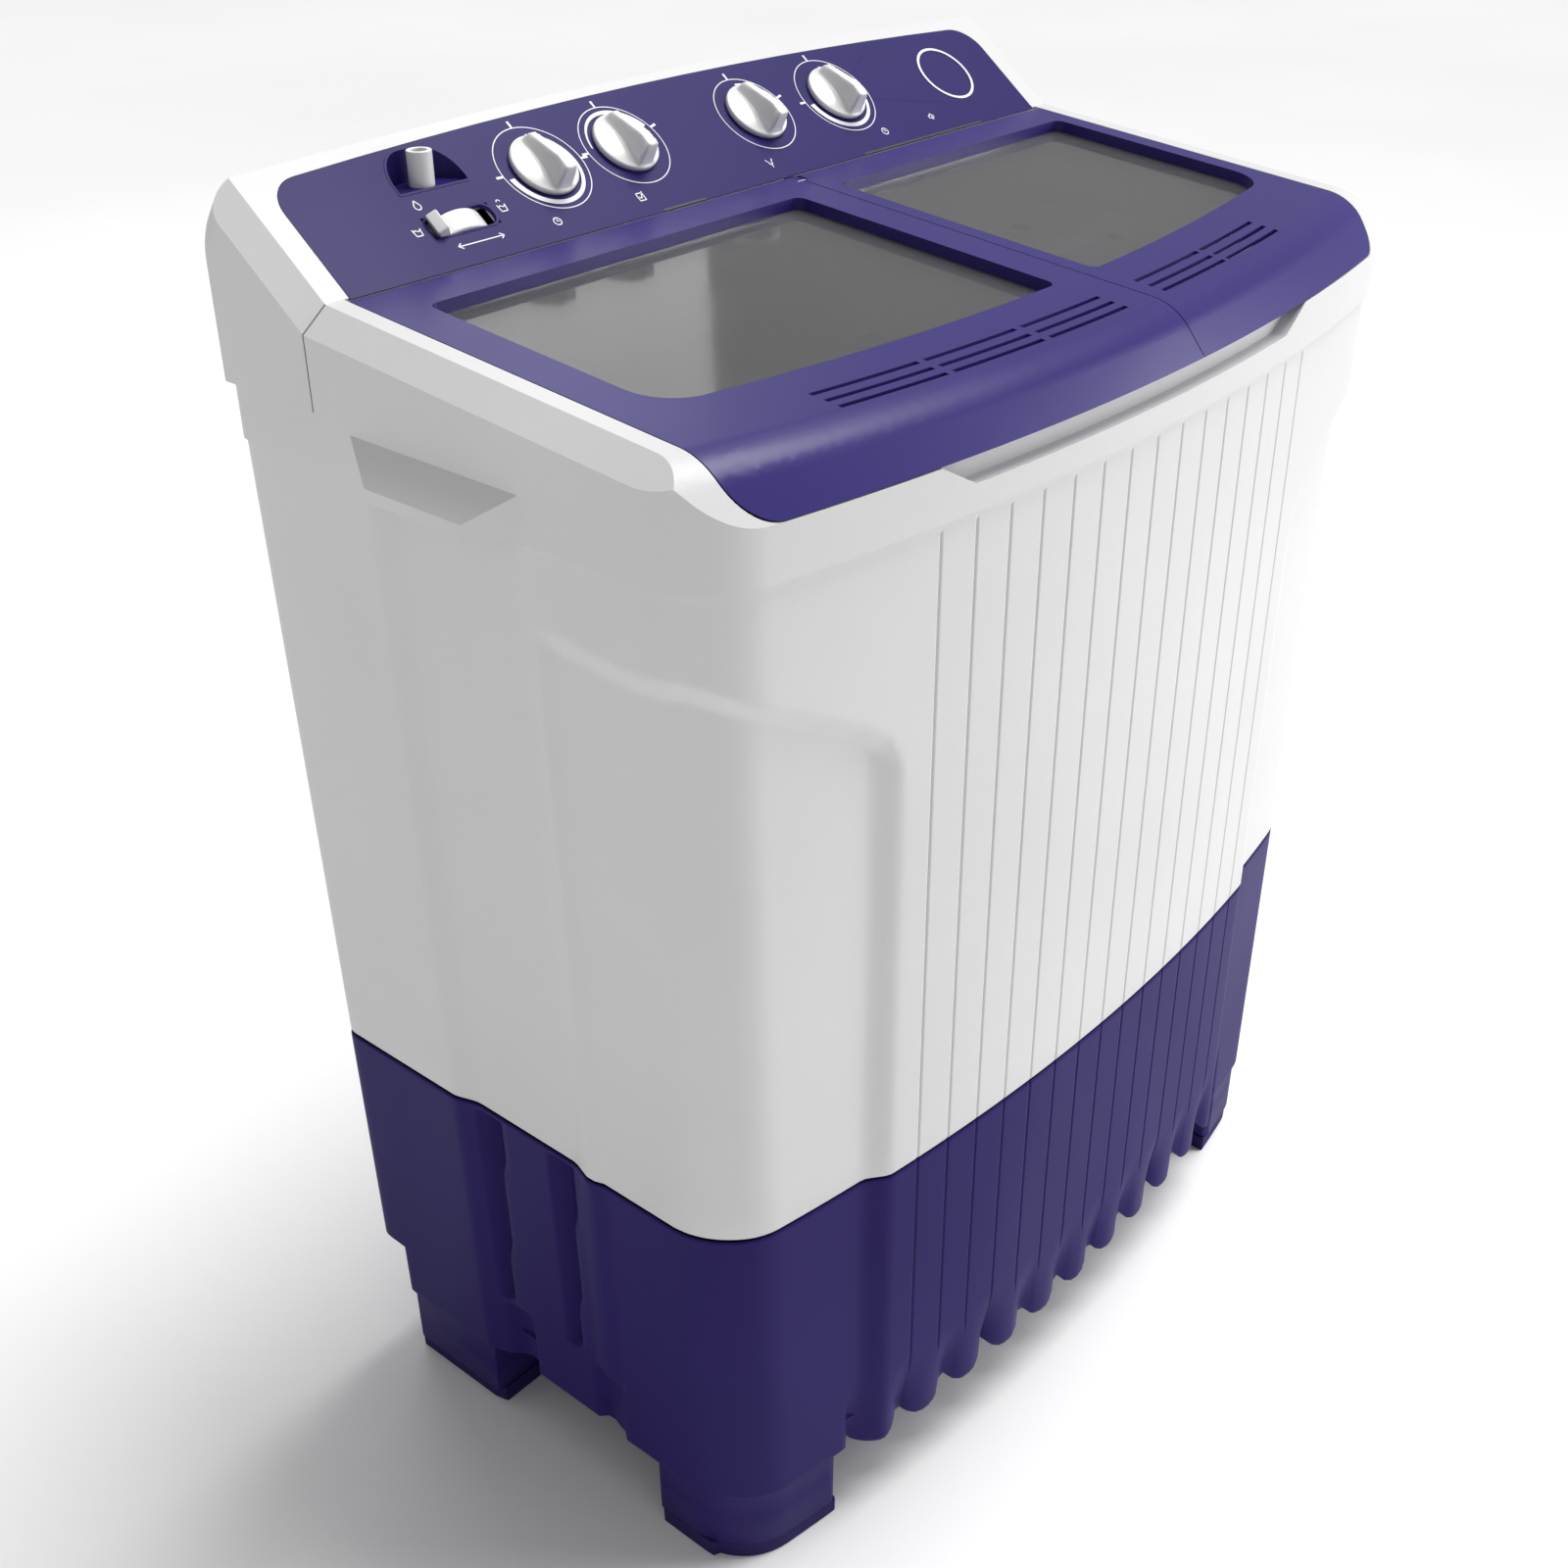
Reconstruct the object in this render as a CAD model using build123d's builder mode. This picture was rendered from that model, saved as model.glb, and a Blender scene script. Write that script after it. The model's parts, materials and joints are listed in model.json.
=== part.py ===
"""Twin tub washer: wash tub on the left, spin tub on the right, sloped control console at the rear.

Frame: millimetres, +Z up, front faces -Y, +X to the right seen from the front.
The origin lies on the floor, under the middle of the bounding box.
"""
import os
from math import atan2, cos, degrees, hypot, radians, sin, tan

from build123d import *

os.makedirs("parts", exist_ok=True)

# ---------------------------------------------------------------- driving dimensions
depth = 478.0                 # front bow to rear wall
cover_half_width = 421.5      # top cover and console, without the side grips
cabinet_half_width = 419.0    # cabinet, just under the top cover
grip_reach = 18.5             # how far each side grip stands out
belt_z = 868.0                # seam between cabinet and top cover
base_top_z = 353.0            # seam between base and cabinet
side_draft = 1.19             # degrees, cabinet and base sides
bow_radius = 1976.0           # front bow, seen from above
corner_radius = 62.0          # front corners
rear_corner_radius = 16.0
belt_step = 3.0               # top cover stands proud of the cabinet at the front
wall = 3.2                    # moulded walls
gap = 1.0                     # seams between panels

rear_y = depth / 2
cover_front_y = -depth / 2
cabinet_front_y = cover_front_y + belt_step

# top cover and lids
joint_y = 144.0               # line where lids meet the console
joint_z = 971.7
top_slope = 5.4               # degrees, lids fall towards the front
lid_front_z = 906.0           # front lower edge of the lids
front_slope = 50.0            # degrees, front face of the lids above that edge
roll_radius = 46.0            # roll from the top of the lids to their front
shoulder = 20.0               # bevel along the outer top edges
lid_half_width = 386.0
lid_split_x = 49.0            # wash lid to the left of it, spin lid to the right
lid_depth = 14.0              # thickness of the lids
lid_skin = 2.8
lid_seat = lid_depth + 1.5    # the deck lies this far under the lids' top

# console
panel_tilt = 37.3             # degrees from horizontal
panel_side_v = 107.0          # slope length of the panel at its ends
panel_mid_v = 119.7           # slope length at the middle of its bowed top
console_foot_z = 906.0
console_wall = 3.0
fascia_thickness = 2.4
knob_centres = {"wash_timer": (-165.4, 59.9), "wash_selector": (-80.7, 62.1),
                "drain_selector": (65.1, 61.4), "spin_timer": (164.0, 60.4)}
knob_radius = 26.5
knob_shaft_radius = 3.0

# tubs
wash_x, wash_y = -169.0, 2.0
wash_half_x, wash_half_y = 183.0, 178.0
wash_corner = 85.0
wash_floor_z = 396.0
spin_x, spin_y = 212.0, 2.0
spin_radius = 160.0
spin_floor_z = 396.0
tub_top_z = 897.0
tub_wall = 3.0

# base
skirt_z = 75.0                # lower edge of the skirt between the feet
floor_z = 100.0               # underside of the base floor
floor_thickness = 4.0
foot_height = 16.0
rear_setback = 27.0           # the lower rear wall steps forward by this much
rear_setback_z = 128.0

running_gap = 0.06            # radial, shafts in their bores

slope_tan = tan(radians(top_slope))
draft_tan = tan(radians(side_draft))
panel_plane = Plane(origin=(0, joint_y, joint_z), x_dir=(1, 0, 0),
                    z_dir=(0, -sin(radians(panel_tilt)), cos(radians(panel_tilt))))


def bow_rise(x):
    """How far the bowed front lies behind its middle at a distance x from it."""
    return x * x / (2 * bow_radius)


def half_width_at(z):
    """Drafted half width of the cabinet and the base at height z."""
    return cabinet_half_width - (belt_z - z) * draft_tan


def top_z(y):
    """Height of the lids' flat top at a given y."""
    return joint_z - (joint_y - y) * slope_tan


def ring(outer, inner, height, base=(0, 0, 0)):
    """An upright tube standing on a point."""
    with BuildPart(Plane.XY.offset(base[2])) as tube:
        with Locations((base[0], base[1])):
            Cylinder(outer, height, align=(Align.CENTER, Align.CENTER, Align.MIN))
            Cylinder(inner, height, align=(Align.CENTER, Align.CENTER, Align.MIN),
                     mode=Mode.SUBTRACT)
    return tube.part


def disc(radius, height, base):
    """An upright cylinder standing on a point."""
    with BuildPart(Plane.XY.offset(base[2])) as plug:
        with Locations((base[0], base[1])):
            Cylinder(radius, height, align=(Align.CENTER, Align.CENTER, Align.MIN))
    return plug.part


def block(low, high):
    """A box between two corners."""
    size = [b - a for a, b in zip(low, high)]
    with BuildPart(Plane(origin=low)) as body:
        Box(*size, align=(Align.MIN, Align.MIN, Align.MIN))
    return body.part


def plan_sketch(half_width, front_y, back_y, z):
    """Plan outline with straight sides and rear, a bowed front and round corners."""
    side_y = front_y + bow_rise(half_width)
    with BuildSketch(Plane.XY.offset(z)) as plan:
        with BuildLine():
            Polyline((-half_width, side_y), (-half_width, back_y),
                     (half_width, back_y), (half_width, side_y))
            ThreePointArc((half_width, side_y), (0, front_y), (-half_width, side_y))
        make_face()
        fillet(plan.vertices().group_by(Axis.Y)[0], corner_radius)
        fillet(plan.vertices().group_by(Axis.Y)[-1], rear_corner_radius)
    return plan.sketch


# side channel under each grip, and the set-back front corners, seen from above
channel_depth = 6.5
channel_rear, channel_front = (104.0, 77.0), (-53.0, -26.0)     # rim and floor of each end
corner_setback = 10.0
side_setback = 2.0
setback_rear_y = -58.0
ramp_outer_x = 261.0
ramp_inner_x = 283.0
beyond = 40.0                 # cutters reach this far outside the body


def side_plane(side, inset):
    """Plane of one drafted side."""
    return Plane(origin=(side * (cabinet_half_width - inset), 0, belt_z),
                 z_dir=(side, 0, -draft_tan))


def walls_form(front_y, side_inset, back_y, corner, low_z, high_z):
    """Body with drafted flat sides, a bowed front and round corners."""
    wide = cabinet_half_width + 5
    side_y = front_y + bow_rise(wide)
    with BuildPart() as body:
        with BuildSketch(Plane.XY.offset(low_z)):
            with BuildLine():
                Polyline((-wide, side_y), (-wide, back_y), (wide, back_y), (wide, side_y))
                ThreePointArc((wide, side_y), (0, front_y), (-wide, side_y))
            make_face()
        extrude(amount=high_z - low_z)
        for side in (1, -1):
            split(bisect_by=side_plane(side, side_inset), keep=Keep.BOTTOM)
        uprights = body.edges().filter_by(lambda e: abs(e.tangent_at(0.5).Z) > 0.9)
        fillet(uprights.sort_by(Axis.Y)[:2], corner)
        uprights = body.edges().filter_by(lambda e: abs(e.tangent_at(0.5).Z) > 0.9)
        fillet(uprights.sort_by(Axis.Y)[-2:], rear_corner_radius - side_inset / 2)
    return body.part


def ramp_plane(side, inset, ends):
    """Plane of one sloped end of a side channel, from its rim to its floor."""
    rim_y, channel_floor_y = ends
    lean = 1 if rim_y > channel_floor_y else -1
    rim_y, channel_floor_y = rim_y + lean * inset, channel_floor_y + lean * inset
    high = Vector(side * (half_width_at(belt_z) - inset), rim_y, belt_z)
    low = Vector(side * (half_width_at(0) - inset), rim_y, 0)
    deep = Vector(side * (half_width_at(belt_z) - inset - channel_depth), channel_floor_y, belt_z)
    normal = (low - high).cross(deep - high).normalized()
    if normal.X * side < 0:
        normal = normal * -1
    return Plane(origin=high, z_dir=normal)


def channel_cutter(side, inset, low_z, high_z):
    """What one side channel takes away."""
    xs = sorted((side * (cabinet_half_width - 60), side * (cabinet_half_width + beyond)))
    with BuildPart() as cutter:
        add(block((xs[0], channel_front[0] - 80, low_z), (xs[1], channel_rear[0] + 80, high_z)))
        split(bisect_by=side_plane(side, inset + channel_depth), keep=Keep.TOP)
        split(bisect_by=ramp_plane(side, inset, channel_rear), keep=Keep.TOP)
        split(bisect_by=ramp_plane(side, inset, channel_front), keep=Keep.TOP)
    return cutter.part


# upper edge of the set-back corners, seen from the front
setback_top = ((470, 812), (398, 806), (340, 777), (297, 751))
setback_edge_z = 702.0


def setback_limit(side, inset):
    """Everything under the upper edge of one set-back corner."""
    with BuildPart() as limit:
        with BuildSketch(Plane.XZ):
            with BuildLine():
                Spline(*[(side * x, z + inset) for x, z in setback_top])
                Bezier((side * setback_top[-1][0], setback_top[-1][1] + inset),
                       (side * (ramp_outer_x - inset), 735 + inset),
                       (side * (ramp_outer_x - 30), setback_edge_z + inset))
                Polyline((side * (ramp_outer_x - 30), setback_edge_z + inset),
                         (side * (ramp_outer_x - 30), 0), (side * 470, 0),
                         (side * 470, setback_top[0][1] + inset))
            make_face()
        extrude(amount=300, both=True)
    return limit.part


def setback_cutter(side, inset, low_z, high_z, banded):
    """What one set-back front corner takes away."""
    xs = sorted((side * (ramp_outer_x - 30), side * (cabinet_half_width + beyond)))
    edge_y = cabinet_front_y + inset + bow_rise(ramp_outer_x)
    ramp_side = (corner_setback, -side * (ramp_inner_x - ramp_outer_x), 0)
    with BuildPart() as cutter:
        add(block((xs[0], cabinet_front_y - beyond, low_z), (xs[1], setback_rear_y + inset, high_z)))
        split(bisect_by=Plane(origin=(side * ramp_outer_x, edge_y, 0),
                              z_dir=(side * ramp_side[0], side * ramp_side[1], 0)), keep=Keep.TOP)
        add(walls_form(cabinet_front_y + inset + corner_setback, inset + side_setback,
                       rear_y + 20, corner_radius - inset, low_z - 5, high_z + 5),
            mode=Mode.SUBTRACT)
        if banded:
            add(setback_limit(side, inset), mode=Mode.INTERSECT)
    return cutter.part


def body_form(inset, low_z, high_z, banded):
    """Outer body of cabinet or base between two heights, moved inwards by an inset.

    A banded body keeps its full outline above the set-back corners.
    """
    with BuildPart() as body:
        add(walls_form(cabinet_front_y + inset, inset, rear_y - inset, corner_radius - inset,
                       low_z, high_z))
        for side in (1, -1):
            add(channel_cutter(side, inset, low_z - 1, high_z + 1), mode=Mode.SUBTRACT)
            add(setback_cutter(side, inset, low_z - 1, high_z + 1, banded), mode=Mode.SUBTRACT)
    return body.part


def rear_stud(radius, length, base):
    """A cylinder that points to the rear from a point."""
    with BuildPart(Plane(origin=base, x_dir=(1, 0, 0), z_dir=(0, 1, 0))) as stud:
        Cylinder(radius, length, align=(Align.CENTER, Align.CENTER, Align.MIN))
    return stud.part


def rod_x(radius, low_x, high_x, y, z):
    """A cylinder along X."""
    with BuildPart(Plane(origin=(low_x, y, z), x_dir=(0, 1, 0), z_dir=(1, 0, 0))) as rod:
        Cylinder(radius, high_x - low_x, align=(Align.CENTER, Align.CENTER, Align.MIN))
    return rod.part


def panel_rod(radius, u, v, low, high):
    """A cylinder square to the console panel, between two heights above it."""
    with BuildPart(panel_plane) as rod:
        with Locations((u, v, low)):
            Cylinder(radius, high - low, align=(Align.CENTER, Align.CENTER, Align.MIN))
    return rod.part


def panel_block(low, high):
    """A box in the console panel's own directions: along, up the slope, and off it."""
    with BuildPart(panel_plane) as body:
        with Locations(low):
            Box(*[b - a for a, b in zip(low, high)], align=(Align.MIN, Align.MIN, Align.MIN))
    return body.part


# rear cover screws
screw_spots = [(x, z) for x in (-306, 0, 306) for z in (393, 807)]
screw_shank, screw_head, screw_head_height = 1.9, 5.0, 1.6

# ---------------------------------------------------------------- cabinet
groove_pitch = 33.0
groove_count = 15
groove_width = 2.0
groove_depth = 1.2
groove_xs = [(i - (groove_count - 1) / 2) * groove_pitch for i in range(groove_count)]

cabinet_low_z = base_top_z
with BuildPart() as cabinet:
    add(body_form(0, cabinet_low_z, belt_z, banded=True))
    add(body_form(wall, cabinet_low_z - 5, belt_z + 5, banded=True), mode=Mode.SUBTRACT)
    for x in groove_xs:
        with Locations((x, cabinet_front_y + bow_rise(x), (base_top_z + belt_z - 5) / 2)):
            Box(groove_width, 2 * groove_depth, belt_z - 5 - base_top_z + 2, mode=Mode.SUBTRACT)
    add(block((-300, rear_y - wall - 6, 400), (300, rear_y + 5, 800)), mode=Mode.SUBTRACT)
    with Locations(*[Location((x, rear_y, z), (-90, 0, 0)) for x, z in screw_spots]):
        CounterBoreHole(screw_shank + 0.2, screw_head + 0.4, screw_head_height, depth=2 * wall)
cabinet.part.label = "cabinet"
export_step(cabinet.part, "parts/cabinet.step")

# ---------------------------------------------------------------- rear cover and its screws
seat_gap = 0.05
cover_back_y = rear_y - wall - seat_gap   # the cover's flange lies behind the cabinet wall
with BuildPart() as rear_cover:
    add(block((-314, cover_back_y - 2, 386), (314, cover_back_y, 814)))
    add(block((-298.5, cover_back_y - 2, 401.5), (298.5, rear_y - 1.2, 798.5)))
    add(block((-295, cover_back_y - 3, 405), (295, rear_y - 3.4, 795)), mode=Mode.SUBTRACT)
    with Locations(*[(x, rear_y, 430 + 14 * i) for x in (-170, 170) for i in range(8)]):
        Box(150, 20, 5, mode=Mode.SUBTRACT)
    for x, z in screw_spots:
        add(rear_stud(screw_shank + seat_gap, 8, (x, cover_back_y - 4, z)), mode=Mode.SUBTRACT)
rear_cover.part.label = "rear_cover"
export_step(rear_cover.part, "parts/rear_cover.step")

with BuildPart() as rear_cover_screws:
    for x, z in screw_spots:
        add(rear_stud(screw_shank, 9, (x, rear_y - screw_head_height - 8, z)))
        add(rear_stud(screw_head, screw_head_height,
                      (x, rear_y - screw_head_height + seat_gap, z)))
rear_cover_screws.part.label = "rear_cover_screws"
export_step(rear_cover_screws.part, "parts/rear_cover_screws.step")

# ---------------------------------------------------------------- base
leg_drop = 3.0                # legs stand this far inside the skirt
base_wall = 3.5
legs = {"front": ((-430, -260, 0), (-293, -94, 110)), "rear": ((-430, 95, 0), (-300, 260, 110))}


def base_form(inset, low_z, high_z):
    """Outer body of the base, with the lower rear wall stepped forward."""
    with BuildPart() as body:
        add(body_form(inset, low_z, high_z, banded=False))
        add(block((-450, rear_y - rear_setback - inset, 0),
                  (450, 300, rear_setback_z + inset)), mode=Mode.SUBTRACT)
    return body.part


def leg_form(inset, low_z, high_z):
    """The four corner legs, moved inwards by an inset."""
    with BuildPart() as body:
        for low, high in legs.values():
            add(block((low[0] + inset, low[1] + inset, low[2]),
                      (high[0] - inset, high[1] - inset, high[2])))
        mirror(about=Plane.YZ)
        add(base_form(inset + leg_drop, low_z, high_z), mode=Mode.INTERSECT)
    return body.part


with BuildPart() as leg_shell:
    add(leg_form(0, foot_height, floor_z))
    add(leg_form(base_wall, foot_height - 1, floor_z + 1), mode=Mode.SUBTRACT)

flute_wall = 13.0             # the front skirt stays thick enough for its flutes
flute_top_z = 150.0
flute_pitch = 52.5
flute_count = 10
flute_radius = 20.0
flute_tilt = 13.0
flute_xs = [(i - (flute_count - 1) / 2) * flute_pitch for i in range(flute_count)]
rib_slots = ((77.0, 54.0), (-3.0, -26.0))     # along Y, rear and front slot in each side channel
spigot_x, spigot_y = 62.0, 150.0              # drain line, under the gap between the tubs
spigot_z = 84.0
gland_x, gland_z = -330.0, 300.0


def base_cavity(low_z, high_z):
    """Inside of the base between two heights, leaving the fluted front skirt thick."""
    with BuildPart() as body:
        add(base_form(base_wall, low_z, high_z))
        add(front_pad.part, mode=Mode.SUBTRACT)
    return body.part


with BuildPart() as front_pad:
    add(block((-335, -260, 60), (335, -150, flute_top_z)))
    extrude(plan_sketch(400, cabinet_front_y + flute_wall, rear_y, 50), amount=130,
            mode=Mode.SUBTRACT)

with BuildPart() as base:
    add(base_form(0, skirt_z, base_top_z))
    for s in (1, -1):
        for rear_edge, front_edge in rib_slots:
            side_x = half_width_at(base_top_z) - channel_depth
            with BuildSketch(Plane.XY.offset(base_top_z - 8)) as upper_slot:
                Polygon((s * side_x, rear_edge), (s * (side_x + 9), rear_edge),
                        (s * (side_x + 9), front_edge), (s * (side_x - 7), front_edge + 2),
                        (s * (side_x - 7), front_edge + 8), align=None)
            with BuildSketch(Plane.XY.offset(skirt_z - 5)) as lower_slot:
                Polygon((s * (side_x - 5), rear_edge - 6), (s * (side_x + 4), rear_edge - 6),
                        (s * (side_x + 4), front_edge), (s * (side_x - 14), front_edge + 2),
                        (s * (side_x - 14), front_edge + 6), align=None)
            loft([lower_slot.sketch, upper_slot.sketch], ruled=True, mode=Mode.SUBTRACT)
    for x in groove_xs:
        with Locations((x, cabinet_front_y + bow_rise(x), 238)):
            Box(groove_width, 2 * groove_depth, 232, mode=Mode.SUBTRACT)
    for x in flute_xs:
        flute_y = cabinet_front_y + bow_rise(x) - flute_radius + 9
        with Locations(Location((x, flute_y, skirt_z), (flute_tilt, 0, 0))):
            Cylinder(flute_radius, 130, mode=Mode.SUBTRACT)
    add(base_cavity(floor_z + floor_thickness, base_top_z + 1), mode=Mode.SUBTRACT)
    add(base_cavity(skirt_z - 1, floor_z), mode=Mode.SUBTRACT)
    add(leg_shell.part)
    add(disc(16, 20, (spigot_x, spigot_y, floor_z - 8)), mode=Mode.SUBTRACT)
    add(rear_stud(14.5, 60, (spigot_x, 180, spigot_z)), mode=Mode.SUBTRACT)
    add(rear_stud(7, 20, (gland_x, rear_y - 10, gland_z)), mode=Mode.SUBTRACT)
base.part.label = "base"
export_step(base.part, "parts/base.step")

with BuildPart() as foot_pads:
    add(leg_form(2.5, 0, foot_height))
foot_pads.part.label = "foot_pads"
export_step(foot_pads.part, "parts/foot_pads.step")

# ---------------------------------------------------------------- shared outer form of lids and top cover
cone_axis_y = cover_front_y + bow_radius
bevel_drop = 15.0


def bevel_plane(side, tilt, inset):
    """Plane of the bevel along one outer top edge, over a surface tilted towards the front."""
    angle = atan2(bevel_drop * cos(radians(tilt)), shoulder)
    normal = Vector(side * sin(angle), -cos(angle) * sin(radians(tilt)),
                    cos(angle) * cos(radians(tilt)))
    point = Vector(side * (cover_half_width - shoulder), joint_y, joint_z)
    return Plane(origin=point - normal * inset, z_dir=normal)


def cover_form(inset, low_z, high_z=990.0):
    """Body under the outer surface that lids and top cover share, moved inwards by an inset."""
    slope = radians(top_slope)

    def cone_radius(z):
        return (bow_radius - (z - lid_front_z) / tan(radians(front_slope))
                - inset / sin(radians(front_slope)))

    with BuildPart() as form:
        extrude(plan_sketch(cover_half_width - inset, cover_front_y + inset, rear_y - inset, low_z),
                amount=high_z - low_z)
        with Locations((0, cone_axis_y, low_z)):
            Cone(cone_radius(low_z), cone_radius(high_z), high_z - low_z,
                 align=(Align.CENTER, Align.CENTER, Align.MIN), mode=Mode.INTERSECT)
        split(bisect_by=Plane(origin=(0, joint_y, joint_z - inset / cos(slope)),
                              z_dir=(0, -sin(slope), cos(slope))), keep=Keep.BOTTOM)
        crease = form.faces().sort_by(Axis.Z)[-1].edges().sort_by(Axis.Y)[0]
        fillet(crease, roll_radius - inset)
        for side in (1, -1):
            split(bisect_by=bevel_plane(side, top_slope, inset), keep=Keep.BOTTOM)
    return form.part


lid_corner = 28.0             # front lower corners of the lids, seen from the front
scoop_depth = 12.0
scoop = ((-241.0, 908.0), (-204.0, 887.0), (184.0, 887.0), (221.0, 908.0))


def lid_region(low_x, high_x, low_z, corners, back_y):
    """Upright block over a lid, with its lower front corners rounded, seen from the front."""
    with BuildPart() as region:
        with BuildSketch(Plane.XZ.offset(-back_y)) as face:
            with BuildLine():
                Polyline((low_x, low_z), (high_x, low_z), (high_x, 1000), (low_x, 1000), close=True)
            make_face()
            for x, rounded in zip((low_x, high_x), corners):
                if rounded:
                    fillet(face.vertices().filter_by(
                        lambda v: abs(v.X - x) < 0.1 and v.Z < low_z + 1), lid_corner)
        extrude(amount=back_y + 300)
    return region.part


def opening_sketch(low_x, high_x, front_y, back_y, radii, z):
    """Plan of a lid window or deck opening: bowed front, corners (front low x, front high x, rear)."""
    mid_x = (low_x + high_x) / 2
    with BuildSketch(Plane.XY.offset(z)) as plan:
        with BuildLine():
            Polyline((low_x, front_y + bow_rise(low_x)), (low_x, back_y),
                     (high_x, back_y), (high_x, front_y + bow_rise(high_x)))
            ThreePointArc((high_x, front_y + bow_rise(high_x)), (mid_x, front_y + bow_rise(mid_x)),
                          (low_x, front_y + bow_rise(low_x)))
        make_face()
        for x, y, radius in ((low_x, front_y + bow_rise(low_x), radii[0]),
                             (high_x, front_y + bow_rise(high_x), radii[1]),
                             (low_x, back_y, radii[2]), (high_x, back_y, radii[2])):
            fillet(plan.vertices().sort_by_distance((x, y, 0))[0], radius)
    return plan.sketch


def prism(sketch, height):
    """A plan pulled straight up."""
    with BuildPart() as body:
        extrude(sketch, amount=height)
    return body.part


# ---------------------------------------------------------------- top cover
cover_low_z = belt_z
deck = 3.2
hinge_y = joint_y - 6.5
nose_radius = 5.5
hinge_z = top_z(hinge_y) - nose_radius
pin_radius = 2.0
ear_low_x, ear_high_x = lid_split_x - 5, lid_split_x + 5
wash_mouth = (-343.0, 5.0, -160.0, 122.0)
spin_mouth = (66.0, 360.0, -158.0, 122.0)
mouth_radii = {"wash": (70.0, 60.0, 40.0), "spin": (60.0, 60.0, 60.0)}
skirt_low_z = 880.0
grip_rear_y, grip_front_y, grip_ramp = 108.0, -49.0, 33.0
grip_top_z, grip_lip_z = 899.0, 877.0


def mouth(name, size, grow, low_z, height):
    """The opening of one tub in the deck, grown outwards."""
    low_x, high_x, front_y, back_y = size
    radii = [r + grow for r in mouth_radii[name]]
    return prism(opening_sketch(low_x - grow, high_x + grow, front_y - grow, back_y + grow,
                                radii, low_z), height)


def mouth_ring(name, size):
    """The skirt that hangs from the deck round one mouth."""
    with BuildPart() as skirt:
        add(mouth(name, size, deck, skirt_low_z, 120))
        add(mouth(name, size, -20, skirt_low_z - 1, 125), mode=Mode.SUBTRACT)
    return skirt.part


def grip_form(side, inset, low_z):
    """The flared hand grip on one side, moved inwards by an inset."""
    wall_x, lip_x = cover_half_width - 12 + inset, cover_half_width + grip_reach - inset
    rear, front = grip_rear_y - inset, grip_front_y + inset
    rise, run = grip_top_z - grip_lip_z, grip_reach
    slant = Vector(side * rise, 0, run) * (1 / hypot(rise, run))
    lip = Vector(side * (cover_half_width + grip_reach), 0, grip_lip_z)
    with BuildPart() as grip:
        with BuildSketch(Plane.XY.offset(low_z)):
            Polygon((side * wall_x, rear), (side * cover_half_width, rear),
                    (side * lip_x, rear - grip_ramp), (side * lip_x, front + grip_ramp),
                    (side * cover_half_width, front), (side * wall_x, front), align=None)
        extrude(amount=grip_top_z + 20 - low_z)
        split(bisect_by=Plane(origin=lip - slant * inset, z_dir=slant), keep=Keep.BOTTOM)
        split(bisect_by=Plane.XY.offset(grip_top_z + 6 - inset), keep=Keep.BOTTOM)
    return grip.part


lid_bay = lid_region(-lid_half_width - gap, lid_half_width + gap, lid_front_z - gap,
                     (True, True), joint_y)
deck_bay = lid_region(-lid_half_width - gap - deck, lid_half_width + gap + deck,
                      lid_front_z - gap - deck, (True, True), joint_y + 10)
with BuildPart() as scoop_cut:
    with BuildSketch(Plane.XZ.offset(150)):
        Polygon(*scoop, align=None)
    extrude(amount=200)
    extrude(plan_sketch(cover_half_width, cover_front_y + scoop_depth, rear_y, 800), amount=200,
            mode=Mode.SUBTRACT)

ear_low_z = top_z(hinge_y) - lid_seat - 2
with BuildPart() as bay_cut:
    add(lid_bay)
    add(cover_form(lid_seat, 850), mode=Mode.SUBTRACT)
    add(block((ear_low_x, joint_y - 14, ear_low_z), (ear_high_x, joint_y + 5, hinge_z + 4)),
        mode=Mode.SUBTRACT)

with BuildPart() as scoop_backing:
    add(block((scoop[0][0] - 9, -300, scoop[1][1] - deck), (scoop[3][0] + 9, -150, 1000)))
    extrude(plan_sketch(cover_half_width, cover_front_y + scoop_depth + deck, rear_y, 800),
            amount=250, mode=Mode.SUBTRACT)

mouths = {"wash": wash_mouth, "spin": spin_mouth}
with BuildPart() as cover_hollow:
    add(cover_form(deck, cover_low_z - 5))
    add(deck_bay, mode=Mode.SUBTRACT)
    add(cover_form(lid_seat + deck, cover_low_z - 5))
    add(block((-450, joint_y - deck, console_foot_z - deck), (450, 300, 1000)),
        mode=Mode.SUBTRACT)
    add(scoop_backing.part, mode=Mode.SUBTRACT)
    for side in (1, -1):
        backing_xs = sorted((side * (cover_half_width - 12), side * 460))
        add(block((backing_xs[0], grip_front_y, 850), (backing_xs[1], grip_rear_y, grip_top_z)),
            mode=Mode.SUBTRACT)
        ear_xs = sorted((side * (lid_half_width + gap), side * (lid_half_width + 16)))
        add(block((ear_xs[0], hinge_y - 7, hinge_z - 8), (ear_xs[1], hinge_y + 10, 1000)),
            mode=Mode.SUBTRACT)
    for name, size in mouths.items():
        add(mouth_ring(name, size), mode=Mode.SUBTRACT)

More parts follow.
